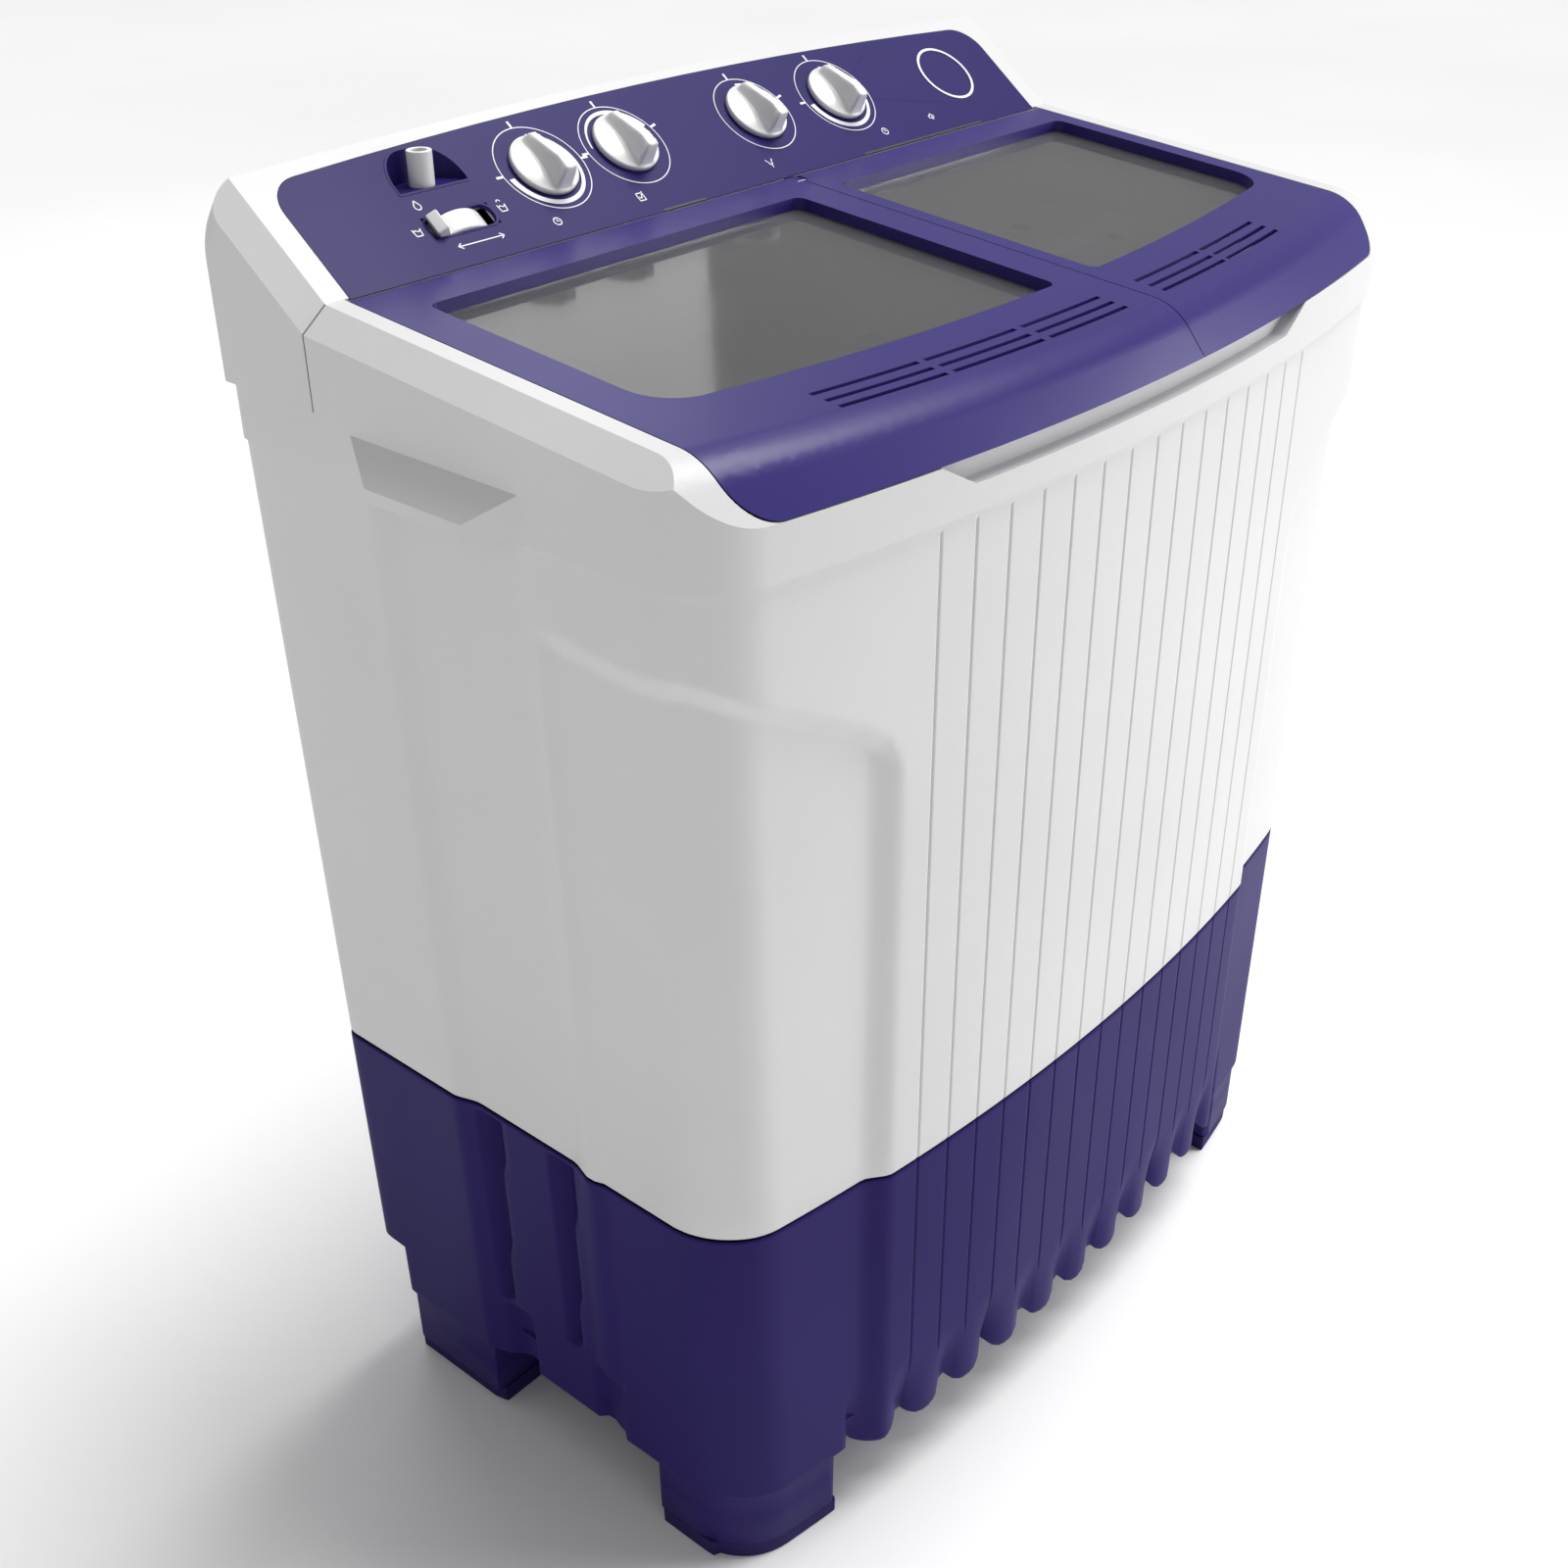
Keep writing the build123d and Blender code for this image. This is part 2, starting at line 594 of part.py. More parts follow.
with BuildPart() as top_cover:
    add(cover_form(0, cover_low_z))
    add(block((-450, joint_y, console_foot_z), (450, 300, 1000)), mode=Mode.SUBTRACT)
    add(bay_cut.part, mode=Mode.SUBTRACT)
    add(scoop_cut.part, mode=Mode.SUBTRACT)
    add(grip_form(1, 0, cover_low_z))
    add(grip_form(-1, 0, cover_low_z))
    add(grip_form(1, deck, cover_low_z - 5), mode=Mode.SUBTRACT)
    add(grip_form(-1, deck, cover_low_z - 5), mode=Mode.SUBTRACT)
    add(cover_hollow.part, mode=Mode.SUBTRACT)
    for name, size in mouths.items():
        add(mouth(name, size, 0, skirt_low_z - 5, 130), mode=Mode.SUBTRACT)
    add(rod_x(pin_radius, ear_low_x - 1, ear_high_x + 1, hinge_y, hinge_z), mode=Mode.SUBTRACT)
    for side in (1, -1):
        pin_xs = sorted((side * (lid_half_width - 2), side * (lid_half_width + 14)))
        add(rod_x(pin_radius, *pin_xs, hinge_y, hinge_z), mode=Mode.SUBTRACT)
    for hole_x, hole_y, hole_radius in ((-262, 225, 7.6), (62, 150, 6.0)):
        add(disc(hole_radius, 20, (hole_x, hole_y, 895)), mode=Mode.SUBTRACT)
top_cover.part.label = "top_cover"
export_step(top_cover.part, "parts/top_cover.step")


# ---------------------------------------------------------------- lids and their windows
ring_wall = 2.5
pane_depth = 9.0
pane_thickness = 3.0
pin_clear = pin_radius + running_gap
notch = (ear_low_x - gap, ear_high_x + gap)
wash_window_size = (-352.0, 15.0, -134.6, 104.0)
spin_window_size = (65.0, 368.0, -134.6, 106.0)
window_radii = {"wash": (37.0, 8.0, 8.0), "spin": (8.0, 35.0, 8.0)}
vent_rows = (70.6, 58.6, 47.6)                # behind the front bow
vent_width = 4.0
wash_vents = ((-271.0, -178.0), (-172.0, -81.0), (-74.0, 17.0))
spin_vents = ((66.0, 160.0), (165.0, 257.0))


def window_prism(name, size, grow):
    """A lid window's plan pulled up through the lid, grown outwards."""
    low_x, high_x, front_y, back_y = size
    radii = [r + grow for r in window_radii[name]]
    return prism(opening_sketch(low_x - grow, high_x + grow, front_y - grow, back_y + grow,
                                radii, 880), 120)


def vent_prism(low_x, high_x, behind):
    """One vent slot that follows the bowed front."""
    mid_x = (low_x + high_x) / 2
    edges = []
    for y in (cover_front_y + behind - vent_width / 2, cover_front_y + behind + vent_width / 2):
        edges.append([(x, y + bow_rise(x)) for x in (low_x, mid_x, high_x)])
    with BuildPart() as slot:
        with BuildSketch(Plane.XY.offset(910)):
            with BuildLine():
                ThreePointArc(*edges[0])
                ThreePointArc(*edges[1])
                Line(edges[0][0], edges[1][0])
                Line(edges[0][2], edges[1][2])
            make_face()
        extrude(amount=80)
    return slot.part


def lid_form(name, low_x, high_x, corners, size, vents):
    """One lid: a hollow cap with a window opening, vents and a hinge nose."""
    with BuildPart() as hollow:
        add(cover_form(lid_skin, 850))
        add(lid_region(low_x + lid_skin, high_x - lid_skin, lid_front_z + lid_skin, corners,
                       hinge_y - 10), mode=Mode.INTERSECT)
        add(window_wall(name, size), mode=Mode.SUBTRACT)
    with BuildPart() as lid:
        add(cover_form(0, 850))
        add(lid_region(low_x, high_x, lid_front_z, corners, hinge_y), mode=Mode.INTERSECT)
        add(rod_x(nose_radius, low_x, high_x, hinge_y, hinge_z))
        add(cover_form(lid_depth, 840), mode=Mode.SUBTRACT)
        add(hollow.part, mode=Mode.SUBTRACT)
        add(window_prism(name, size, 0), mode=Mode.SUBTRACT)
        for behind in vent_rows:
            for vent in vents:
                add(vent_prism(*vent, behind), mode=Mode.SUBTRACT)
        add(block((notch[0], joint_y - 16, 900), (notch[1], joint_y + 5, 1000)),
            mode=Mode.SUBTRACT)
        for pin_low, pin_high in hinge_pins:
            add(rod_x(pin_clear, pin_low - 1, pin_high + 1, hinge_y, hinge_z), mode=Mode.SUBTRACT)
    return lid.part


def window_wall(name, size):
    """The wall round a window, from the lid's top down to the pane."""
    with BuildPart() as body:
        add(window_prism(name, size, ring_wall))
        add(cover_form(pane_depth, 840), mode=Mode.SUBTRACT)
    return body.part


def pane_form(name, size):
    """The clear pane fixed under the window wall."""
    with BuildPart() as pane:
        add(window_prism(name, size, ring_wall))
        add(cover_form(pane_depth, 840), mode=Mode.INTERSECT)
        add(cover_form(pane_depth + pane_thickness, 830), mode=Mode.SUBTRACT)
    return pane.part


hinge_pins = ((-400.0, -372.0), (30.0, 68.0), (372.0, 400.0))
with BuildPart() as lid_hinge_pins:
    for pin_low, pin_high in hinge_pins:
        add(rod_x(pin_radius, pin_low, pin_high, hinge_y, hinge_z))
lid_hinge_pins.part.label = "lid_hinge_pins"
export_step(lid_hinge_pins.part, "parts/lid_hinge_pins.step")

with BuildPart() as wash_lid:
    add(lid_form("wash", -lid_half_width, lid_split_x - gap / 2, (True, False),
                 wash_window_size, wash_vents))
wash_lid.part.label = "wash_lid"
export_step(wash_lid.part, "parts/wash_lid.step")

with BuildPart() as spin_lid:
    add(lid_form("spin", lid_split_x + gap / 2, lid_half_width, (False, True),
                 spin_window_size, spin_vents))
spin_lid.part.label = "spin_lid"
export_step(spin_lid.part, "parts/spin_lid.step")

with BuildPart() as wash_window:
    add(pane_form("wash", wash_window_size))
wash_window.part.label = "wash_window"
export_step(wash_window.part, "parts/wash_window.step")

with BuildPart() as spin_window:
    add(pane_form("spin", spin_window_size))
spin_window.part.label = "spin_window"
export_step(spin_window.part, "parts/spin_window.step")

# ---------------------------------------------------------------- console
panel_back_wall = 5.4         # housing wall under the fascia, recess included
rim_corner = 24.0
fascia_half_width = 382.5
fascia_side_v = 96.5
fascia_mid_v = 111.5
fascia_corner = 27.0
inlet_x, inlet_y = -262.0, 209.0
pocket_floor_z = 1010.0
pocket_low_x, pocket_high_x, pocket_front_y, pocket_back_y = -292.0, -231.0, 195.7, 224.0
lever_u, lever_v = -261.5, 34.3
lever_slot = (-291.0, 25.0, -232.0, 43.6)
lever_radius = 34.0
lever_pivot = -31.0           # height of the lever's axle off the panel
lever_half = 8.5


def panel_point(u, v, h):
    """A point given along the panel, up its slope, and off it."""
    return panel_plane.from_local_coords(Vector(u, v, h))


def side_view_plane(u, v, h):
    """Plane across the panel: its x runs up the slope and its y off the panel."""
    return Plane(origin=panel_point(u, v, h), z_dir=(1, 0, 0),
                 x_dir=(0, cos(radians(panel_tilt)), sin(radians(panel_tilt))))


def panel_outline(half_width, low_v, side_v, mid_v, corner, h):
    """Outline on the panel with a bowed upper edge and rounded upper corners."""
    with BuildSketch(panel_plane.offset(h)) as outline:
        with BuildLine():
            Polyline((-half_width, side_v), (-half_width, low_v),
                     (half_width, low_v), (half_width, side_v))
            ThreePointArc((half_width, side_v), (0, mid_v), (-half_width, side_v))
        make_face()
        fillet(outline.vertices().group_by(Axis.Y)[-1], corner)
    return outline.sketch


def fascia_sheet(grow, low_h, high_h):
    """The fascia's outline between two heights off the panel."""
    with BuildPart() as sheet:
        extrude(panel_outline(fascia_half_width + grow, 1 - grow, fascia_side_v + grow,
                              fascia_mid_v + grow, fascia_corner, low_h), amount=high_h - low_h)
    return sheet.part


def console_form(inset, top_inset, low_z):
    """Outer body of the console, moved inwards by an inset."""
    half_width = cover_half_width - inset
    with BuildPart() as form:
        add(block((-460, joint_y + inset, low_z), (460, rear_y - inset, 1080)))
        split(bisect_by=panel_plane.offset(-top_inset), keep=Keep.BOTTOM)
        for side in (1, -1):
            split(bisect_by=bevel_plane(side, panel_tilt, top_inset), keep=Keep.BOTTOM)
        extrude(panel_outline(half_width, -90, panel_side_v - inset, panel_mid_v - inset,
                              rim_corner, -200), amount=260, mode=Mode.INTERSECT)
    return form.part


def pocket_prism(grow, low_z):
    """The D-shaped recess for the water inlet, open at the top."""
    low_x, high_x = pocket_low_x - grow, pocket_high_x + grow
    front_y, back_y = pocket_front_y - grow, pocket_back_y + grow
    with BuildPart() as pocket:
        with BuildSketch(Plane.XY.offset(low_z)) as plan:
            with BuildLine():
                Polyline((low_x, front_y), (high_x, front_y), (high_x, back_y), (low_x, back_y),
                         close=True)
            make_face()
            fillet(plan.vertices().group_by(Axis.Y)[-1], 24)
        extrude(amount=100)
    return pocket.part


dial_holes = list(knob_centres.values())
slot_low, slot_high = lever_slot[:2], lever_slot[2:]
with BuildPart() as console_hollow:
    add(console_form(console_wall, panel_back_wall, console_foot_z - 5))
    add(pocket_prism(console_wall, pocket_floor_z - console_wall), mode=Mode.SUBTRACT)

with BuildPart() as console_housing:
    add(console_form(0, 0, console_foot_z))
    add(fascia_sheet(0.3, -fascia_thickness, 20), mode=Mode.SUBTRACT)
    add(console_hollow.part, mode=Mode.SUBTRACT)
    add(pocket_prism(0, pocket_floor_z), mode=Mode.SUBTRACT)
    add(disc(7.2, 20, (inlet_x, inlet_y, pocket_floor_z - 10)), mode=Mode.SUBTRACT)
    for u, v in dial_holes:
        add(panel_rod(knob_shaft_radius + 1, u, v, -10, 10), mode=Mode.SUBTRACT)
    add(panel_block((*slot_low, -12), (*slot_high, 10)), mode=Mode.SUBTRACT)
console_housing.part.label = "console_housing"
export_step(console_housing.part, "parts/console_housing.step")

with BuildPart() as console_fascia:
    add(fascia_sheet(0, -fascia_thickness, 0))
    add(pocket_prism(0.8, pocket_floor_z - 30), mode=Mode.SUBTRACT)
    for u, v in dial_holes:
        add(panel_rod(knob_shaft_radius + 1, u, v, -10, 10), mode=Mode.SUBTRACT)
    add(panel_block((*slot_low, -12), (*slot_high, 10)), mode=Mode.SUBTRACT)
console_fascia.part.label = "console_fascia"
export_step(console_fascia.part, "parts/console_fascia.step")

badge_u, badge_v = 309.9, 55.2
badge_outer, badge_inner, badge_height = 28.9, 26.4, 0.8
with BuildPart() as badge_ring:
    add(panel_rod(badge_outer, badge_u, badge_v, 0, badge_height))
    add(panel_rod(badge_inner, badge_u, badge_v, -1, 2), mode=Mode.SUBTRACT)
badge_ring.part.label = "badge_ring"
export_step(badge_ring.part, "parts/badge_ring.step")

# ---------------------------------------------------------------- dials
knob_lift = 0.6               # gap between a knob and the fascia
knob_rim = 5.0
knob_crown = 8.0
ridge_half = 5.5
ridge = ((24, 3), (24, 8.5), (-11, 23), (-20, 23.5), (-24, 20), (-25, 3))


def knob_form(u, v, shaft_low):
    """A domed dial with a wedge-shaped grip that points up the slope, on its shaft."""
    with BuildPart() as knob:
        add(panel_rod(knob_radius, u, v, knob_lift, knob_rim))
        with Locations(Plane(origin=panel_point(u, v, knob_rim), z_dir=panel_plane.z_dir)):
            Cone(knob_radius, knob_radius - 9, knob_crown - knob_rim,
                 align=(Align.CENTER, Align.CENTER, Align.MIN))
        with BuildSketch(side_view_plane(u, v, 0)):
            Polygon(*ridge, align=None)
        extrude(amount=ridge_half, both=True)
        add(panel_rod(knob_shaft_radius, u, v, shaft_low, knob_rim))
    return knob.part


def dial_body_form(u, v, size, depth_h):
    """A switch or timer body under a dial."""
    top = -panel_back_wall
    with BuildPart() as body:
        add(panel_block((u - size / 2, v - size / 2, top - depth_h),
                        (u + size / 2, v + size / 2, top)))
        add(panel_rod(knob_shaft_radius + running_gap, u, v, top - depth_h - 1, 1),
            mode=Mode.SUBTRACT)
    return body.part


with BuildPart() as wash_timer_knob:
    add(knob_form(*knob_centres["wash_timer"], -31))
wash_timer_knob.part.label = "wash_timer_knob"
export_step(wash_timer_knob.part, "parts/wash_timer_knob.step")

with BuildPart() as wash_selector_knob:
    add(knob_form(*knob_centres["wash_selector"], -23))
wash_selector_knob.part.label = "wash_selector_knob"
export_step(wash_selector_knob.part, "parts/wash_selector_knob.step")

drain_u, drain_v = knob_centres["drain_selector"]
with BuildPart() as drain_knob:
    add(knob_form(drain_u, drain_v, -26))
    add(panel_rod(16, drain_u, drain_v, -26, -21))
drain_knob.part.label = "drain_knob"
export_step(drain_knob.part, "parts/drain_knob.step")

with BuildPart() as spin_timer_knob:
    add(knob_form(*knob_centres["spin_timer"], -31))
spin_timer_knob.part.label = "spin_timer_knob"
export_step(spin_timer_knob.part, "parts/spin_timer_knob.step")

with BuildPart() as wash_timer_body:
    add(dial_body_form(*knob_centres["wash_timer"], 46, 28))
wash_timer_body.part.label = "wash_timer_body"
export_step(wash_timer_body.part, "parts/wash_timer_body.step")

with BuildPart() as wash_selector_body:
    add(dial_body_form(*knob_centres["wash_selector"], 36, 20))
wash_selector_body.part.label = "wash_selector_body"
export_step(wash_selector_body.part, "parts/wash_selector_body.step")

with BuildPart() as drain_knob_seat:
    add(dial_body_form(drain_u, drain_v, 36, 12))
drain_knob_seat.part.label = "drain_knob_seat"
export_step(drain_knob_seat.part, "parts/drain_knob_seat.step")

with BuildPart() as spin_timer_body:
    add(dial_body_form(*knob_centres["spin_timer"], 46, 28))
spin_timer_body.part.label = "spin_timer_body"
export_step(spin_timer_body.part, "parts/spin_timer_body.step")

with BuildPart() as buzzer:
    add(panel_rod(14, badge_u, badge_v, -panel_back_wall - 12, -panel_back_wall))
buzzer.part.label = "buzzer"
export_step(buzzer.part, "parts/buzzer.step")

# ---------------------------------------------------------------- wash/spin water lever
axle_radius = 2.5
tab_angle = 33.0
tab_half = 4.5
tab_reach = 45.0
lever_low_v, lever_high_v = lever_v - lever_half, lever_v + lever_half
lever_plane = Plane(origin=panel_point(lever_u, lever_low_v, lever_pivot), x_dir=(-1, 0, 0),
                    z_dir=(0, cos(radians(panel_tilt)), sin(radians(panel_tilt))))
with BuildPart() as inlet_lever:
    with BuildSketch(lever_plane):
        Circle(lever_radius)
        with Locations(Rotation(0, 0, 90 - tab_angle)):
            with Locations((tab_reach / 2, 0)):
                Rectangle(tab_reach, 2 * tab_half)
        Circle(axle_radius + running_gap, mode=Mode.SUBTRACT)
    extrude(amount=2 * lever_half)
inlet_lever.part.label = "inlet_lever"
export_step(inlet_lever.part, "parts/inlet_lever.step")

bracket_plate, bracket_gap = 3.0, 1.0
with BuildPart() as lever_bracket:
    for low_v in (lever_low_v - bracket_gap - bracket_plate, lever_high_v + bracket_gap):
        add(panel_block((lever_u - 9, low_v, lever_pivot - 7),
                        (lever_u + 9, low_v + bracket_plate, -panel_back_wall)))
    with Locations(lever_plane.offset(-bracket_gap - bracket_plate)):
        Cylinder(axle_radius, 2 * (lever_half + bracket_gap + bracket_plate),
                 align=(Align.CENTER, Align.CENTER, Align.MIN))
lever_bracket.part.label = "lever_bracket"
export_step(lever_bracket.part, "parts/lever_bracket.step")

# ---------------------------------------------------------------- water inlet
inlet_radius, inlet_bore = 9.0, 5.6
inlet_top_z = 1034.5
box_low, box_high = (-292.0, 205.0, 972.0), (-231.0, 234.0, 1007.0)
duct_x, duct_y, duct_radius = -262.0, 225.0, 7.0
chute_front_y, chute_low_z, chute_top_z = 160.0, 898.0, 902.0
with BuildPart() as water_inlet:
    add(disc(inlet_radius, inlet_top_z - pocket_floor_z, (inlet_x, inlet_y, pocket_floor_z)))
    add(disc(7.0, 10, (inlet_x, inlet_y, pocket_floor_z - 6)))
    add(disc(inlet_bore, 60, (inlet_x, inlet_y, pocket_floor_z - 10)), mode=Mode.SUBTRACT)
water_inlet.part.label = "water_inlet"
export_step(water_inlet.part, "parts/water_inlet.step")

with BuildPart() as inlet_box:
    add(block(box_low, box_high))
    add(block([c + 2.5 for c in box_low], [c - 2.5 for c in box_high]), mode=Mode.SUBTRACT)
    add(disc(7.3, 20, (inlet_x, inlet_y, 995)), mode=Mode.SUBTRACT)
    add(disc(duct_radius, 20, (duct_x, duct_y, 960)), mode=Mode.SUBTRACT)
inlet_box.part.label = "inlet_box"
export_step(inlet_box.part, "parts/inlet_box.step")

with BuildPart() as inlet_duct:
    add(ring(duct_radius, duct_radius - 2, 974.5 - chute_low_z - 1,
             (duct_x, duct_y, chute_low_z + 1)))
    add(block((duct_x - 12, chute_front_y, chute_low_z), (duct_x + 12, 233, chute_low_z + 1.4)))
    for low_x in (duct_x - 12, duct_x + 10.6):
        add(block((low_x, chute_front_y, chute_low_z), (low_x + 1.4, 233, chute_top_z)))
    add(block((duct_x - 5, duct_y - 12, chute_low_z + 1.4), (duct_x + 5, duct_y, chute_low_z + 3)),
        mode=Mode.SUBTRACT)
inlet_duct.part.label = "inlet_duct"
export_step(inlet_duct.part, "parts/inlet_duct.step")

# ---------------------------------------------------------------- twin tub
flange_z = belt_z
flange_thickness = 3.0
flange_half = 417.8
bush_radius, boot_radius = 20.0, 28.0
wash_drain, spin_drain = (-20.0, 150.0), (112.0, 92.0)
drain_hole = 8.0
filter_y, filter_half = 2.0, 45.0
filter_low_z, filter_top_z = 560.0, 720.0


def wash_outline(grow, z):
    """Plan of the wash tub."""
    with BuildSketch(Plane.XY.offset(z)) as plan:
        with Locations((wash_x, wash_y)):
            RectangleRounded(2 * (wash_half_x + grow), 2 * (wash_half_y + grow),
                             wash_corner + grow)
    return plan.sketch


spin_collar = deck + 2.5
with BuildPart() as twin_tub:
    extrude(plan_sketch(flange_half, cover_front_y + 3.7, rear_y - 3.7, flange_z),
            amount=flange_thickness)
    extrude(wash_outline(tub_wall, wash_floor_z - tub_wall), amount=tub_top_z - wash_floor_z + 3)
    add(disc(spin_radius + tub_wall, flange_z + 1 - spin_floor_z + tub_wall,
             (spin_x, spin_y, spin_floor_z - tub_wall)))
    add(mouth("spin", spin_mouth, spin_collar + tub_wall, flange_z + 1, tub_top_z - flange_z - 1))
    extrude(wash_outline(0, wash_floor_z), amount=600, mode=Mode.SUBTRACT)
    add(mouth("spin", spin_mouth, spin_collar, flange_z + flange_thickness, 60),
        mode=Mode.SUBTRACT)
    add(disc(spin_radius, 600, (spin_x, spin_y, spin_floor_z)), mode=Mode.SUBTRACT)
    rail_x = wash_x + wash_half_x
    for low_y in (filter_y - filter_half - 4, filter_y + filter_half + 0.5):
        add(block((rail_x - 12, low_y, filter_low_z - 4), (rail_x + 1, low_y + 3.5, filter_top_z)))
    add(block((rail_x - 18, filter_y - filter_half - 4, filter_low_z - 4),
              (rail_x + 1, filter_y + filter_half + 4, filter_low_z)))
    add(disc(bush_radius + 0.1, 30, (wash_x, wash_y, wash_floor_z - 15)), mode=Mode.SUBTRACT)
    add(disc(boot_radius + 0.1, 30, (spin_x, spin_y, spin_floor_z - 15)), mode=Mode.SUBTRACT)
    for x, y in (wash_drain, spin_drain):
        add(disc(drain_hole, 30, (x, y, wash_floor_z - 15)), mode=Mode.SUBTRACT)
    add(disc(6, 30, (spigot_x, spigot_y, flange_z - 10)), mode=Mode.SUBTRACT)
    for low_x in (-430, cover_half_width - 12.6):
        add(block((low_x, grip_front_y - 2, flange_z - 5),
                  (low_x + 430 - cover_half_width + 12.6, grip_rear_y + 2, flange_z + 10)),
            mode=Mode.SUBTRACT)
twin_tub.part.label = "twin_tub"
export_step(twin_tub.part, "parts/twin_tub.step")

with BuildPart() as lint_filter:
    add(block((rail_x - 18, filter_y - filter_half, filter_low_z),
              (rail_x - 0.6, filter_y + filter_half, filter_top_z)))
    add(block((rail_x - 16, filter_y - filter_half + 3, filter_low_z + 3),
              (rail_x - 2.6, filter_y + filter_half - 3, filter_top_z - 14)), mode=Mode.SUBTRACT)
    for i in range(9):
        for side_y in (-22, 22):
            with Locations((rail_x - 17, filter_y + side_y, filter_low_z + 16 + 14 * i)):
                Box(8, 34, 4, mode=Mode.SUBTRACT)
lint_filter.part.label = "lint_filter"
export_step(lint_filter.part, "parts/lint_filter.step")

# ---------------------------------------------------------------- wash drive
pulsator_radius, pulsator_low_z, pulsator_top_z = 165.0, 401.0, 436.0
shaft_radius = 8.0
motor_x, motor_y = 2.0, -90.0
motor_radius, motor_shaft_radius = 60.0, 6.0
belt_z_low, belt_z_high = 305.0, 313.0
big_groove, small_groove = 97.0, 19.0


def turned(profile, x, y):
    """A profile of (radius, z) points turned about an upright axis."""
    with BuildPart() as body:
        with BuildSketch(Plane(origin=(x, y, 0), x_dir=(1, 0, 0), z_dir=(0, -1, 0))):
            Polygon(*profile, align=None)
        revolve(axis=Axis((x, y, 0), (0, 0, 1)))
    return body.part


def pulley_profile(outer, groove, bore):
    """Section of a V-belt pulley with the groove round the belt's height."""
    low, high = belt_z_low - 5, belt_z_high + 7
    return [(bore, low), (outer, low), (outer, belt_z_low - 2.5), (groove, belt_z_low - 0.5),
            (groove, belt_z_high + 0.5), (outer, belt_z_high + 2.5), (outer, high), (bore, high)]


with BuildPart() as pulsator:
    add(turned([(shaft_radius, 404), (30, 404), (60, 401), (165, 401), (165, 407), (120, 409),
                (60, 416), (30, 430), (14, 436), (0.01, 436), (0.01, 428), (shaft_radius, 428)],
               wash_x, wash_y))
    for i in range(6):
        with Locations(Location((wash_x, wash_y, 404), (0, 0, 60 * i))):
            with Locations((90, 0, 0)):
                Box(128, 7, 14, align=(Align.CENTER, Align.CENTER, Align.MIN))
pulsator.part.label = "pulsator"
export_step(pulsator.part, "parts/pulsator.step")

with BuildPart() as pulsator_shaft:
    add(disc(shaft_radius, 136, (wash_x, wash_y, 292)))
pulsator_shaft.part.label = "pulsator_shaft"
export_step(pulsator_shaft.part, "parts/pulsator_shaft.step")

with BuildPart() as wash_bush:
    add(disc(bush_radius, 74, (wash_x, wash_y, 325)))
    add(disc(40, 4, (wash_x, wash_y, 389)))
    add(disc(shaft_radius + running_gap, 100, (wash_x, wash_y, 310)), mode=Mode.SUBTRACT)
wash_bush.part.label = "wash_bush"
export_step(wash_bush.part, "parts/wash_bush.step")

with BuildPart() as wash_pulley:
    add(turned(pulley_profile(105, big_groove, shaft_radius), wash_x, wash_y))
    for z in (292, 314):
        add(ring(90, 24, 10, (wash_x, wash_y, z)), mode=Mode.SUBTRACT)
wash_pulley.part.label = "wash_pulley"
export_step(wash_pulley.part, "parts/wash_pulley.step")


def belt_loop(grow):
    """Plan of the belt's run round both pulleys."""
    with BuildSketch(Plane.XY.offset(belt_z_low)) as plan:
        with Locations((wash_x, wash_y)):
            Circle(big_groove + grow)
        with Locations((motor_x, motor_y)):
            Circle(small_groove + grow)
        make_hull()
    return plan.sketch


with BuildPart() as v_belt:
    extrude(belt_loop(6.5), amount=belt_z_high - belt_z_low)
    extrude(belt_loop(0.4), amount=belt_z_high - belt_z_low, mode=Mode.SUBTRACT)
v_belt.part.label = "v_belt"
export_step(v_belt.part, "parts/v_belt.step")


def motor_case(x, y, low_z, high_z):
    """A can motor's case with its windings, open for the rotor."""
    with BuildPart() as case:
        add(disc(motor_radius, high_z - low_z, (x, y, low_z)))
        add(disc(42, high_z - low_z - 8, (x, y, low_z + 4)), mode=Mode.SUBTRACT)
        for z in (low_z + 4, high_z - 30):
            add(ring(motor_radius - 3, 30, 26, (x, y, z)), mode=Mode.SUBTRACT)
        add(disc(motor_shaft_radius + running_gap, 300, (x, y, low_z + 2)), mode=Mode.SUBTRACT)
    return case.part


def rotor_form(x, y, low_z, high_z, shaft_top_z):
    """A motor's rotor core on its shaft."""
    with BuildPart() as body:
        add(disc(motor_shaft_radius, shaft_top_z - low_z - 8, (x, y, low_z + 8)))
        add(disc(40, high_z - low_z - 64, (x, y, low_z + 32)))
    return body.part


with BuildPart() as wash_motor:
    add(motor_case(motor_x, motor_y, 150, 270))
wash_motor.part.label = "wash_motor"
export_step(wash_motor.part, "parts/wash_motor.step")

with BuildPart() as wash_motor_rotor:
    add(rotor_form(motor_x, motor_y, 150, 270, 318))
wash_motor_rotor.part.label = "wash_motor_rotor"
export_step(wash_motor_rotor.part, "parts/wash_motor_rotor.step")

with BuildPart() as motor_pulley:
    add(turned(pulley_profile(27, small_groove, motor_shaft_radius), motor_x, motor_y))
motor_pulley.part.label = "motor_pulley"
export_step(motor_pulley.part, "parts/motor_pulley.step")

with BuildPart() as motor_bracket:
    add(block((motor_x - 74, motor_y - 72, 146), (motor_x + 74, motor_y + 72, 150)))
    for x in (motor_x - 64, motor_x + 64):
        for y in (motor_y - 62, motor_y + 62):
            add(disc(7, 42, (x, y, floor_z + floor_thickness)))
motor_bracket.part.label = "motor_bracket"
export_step(motor_bracket.part, "parts/motor_bracket.step")

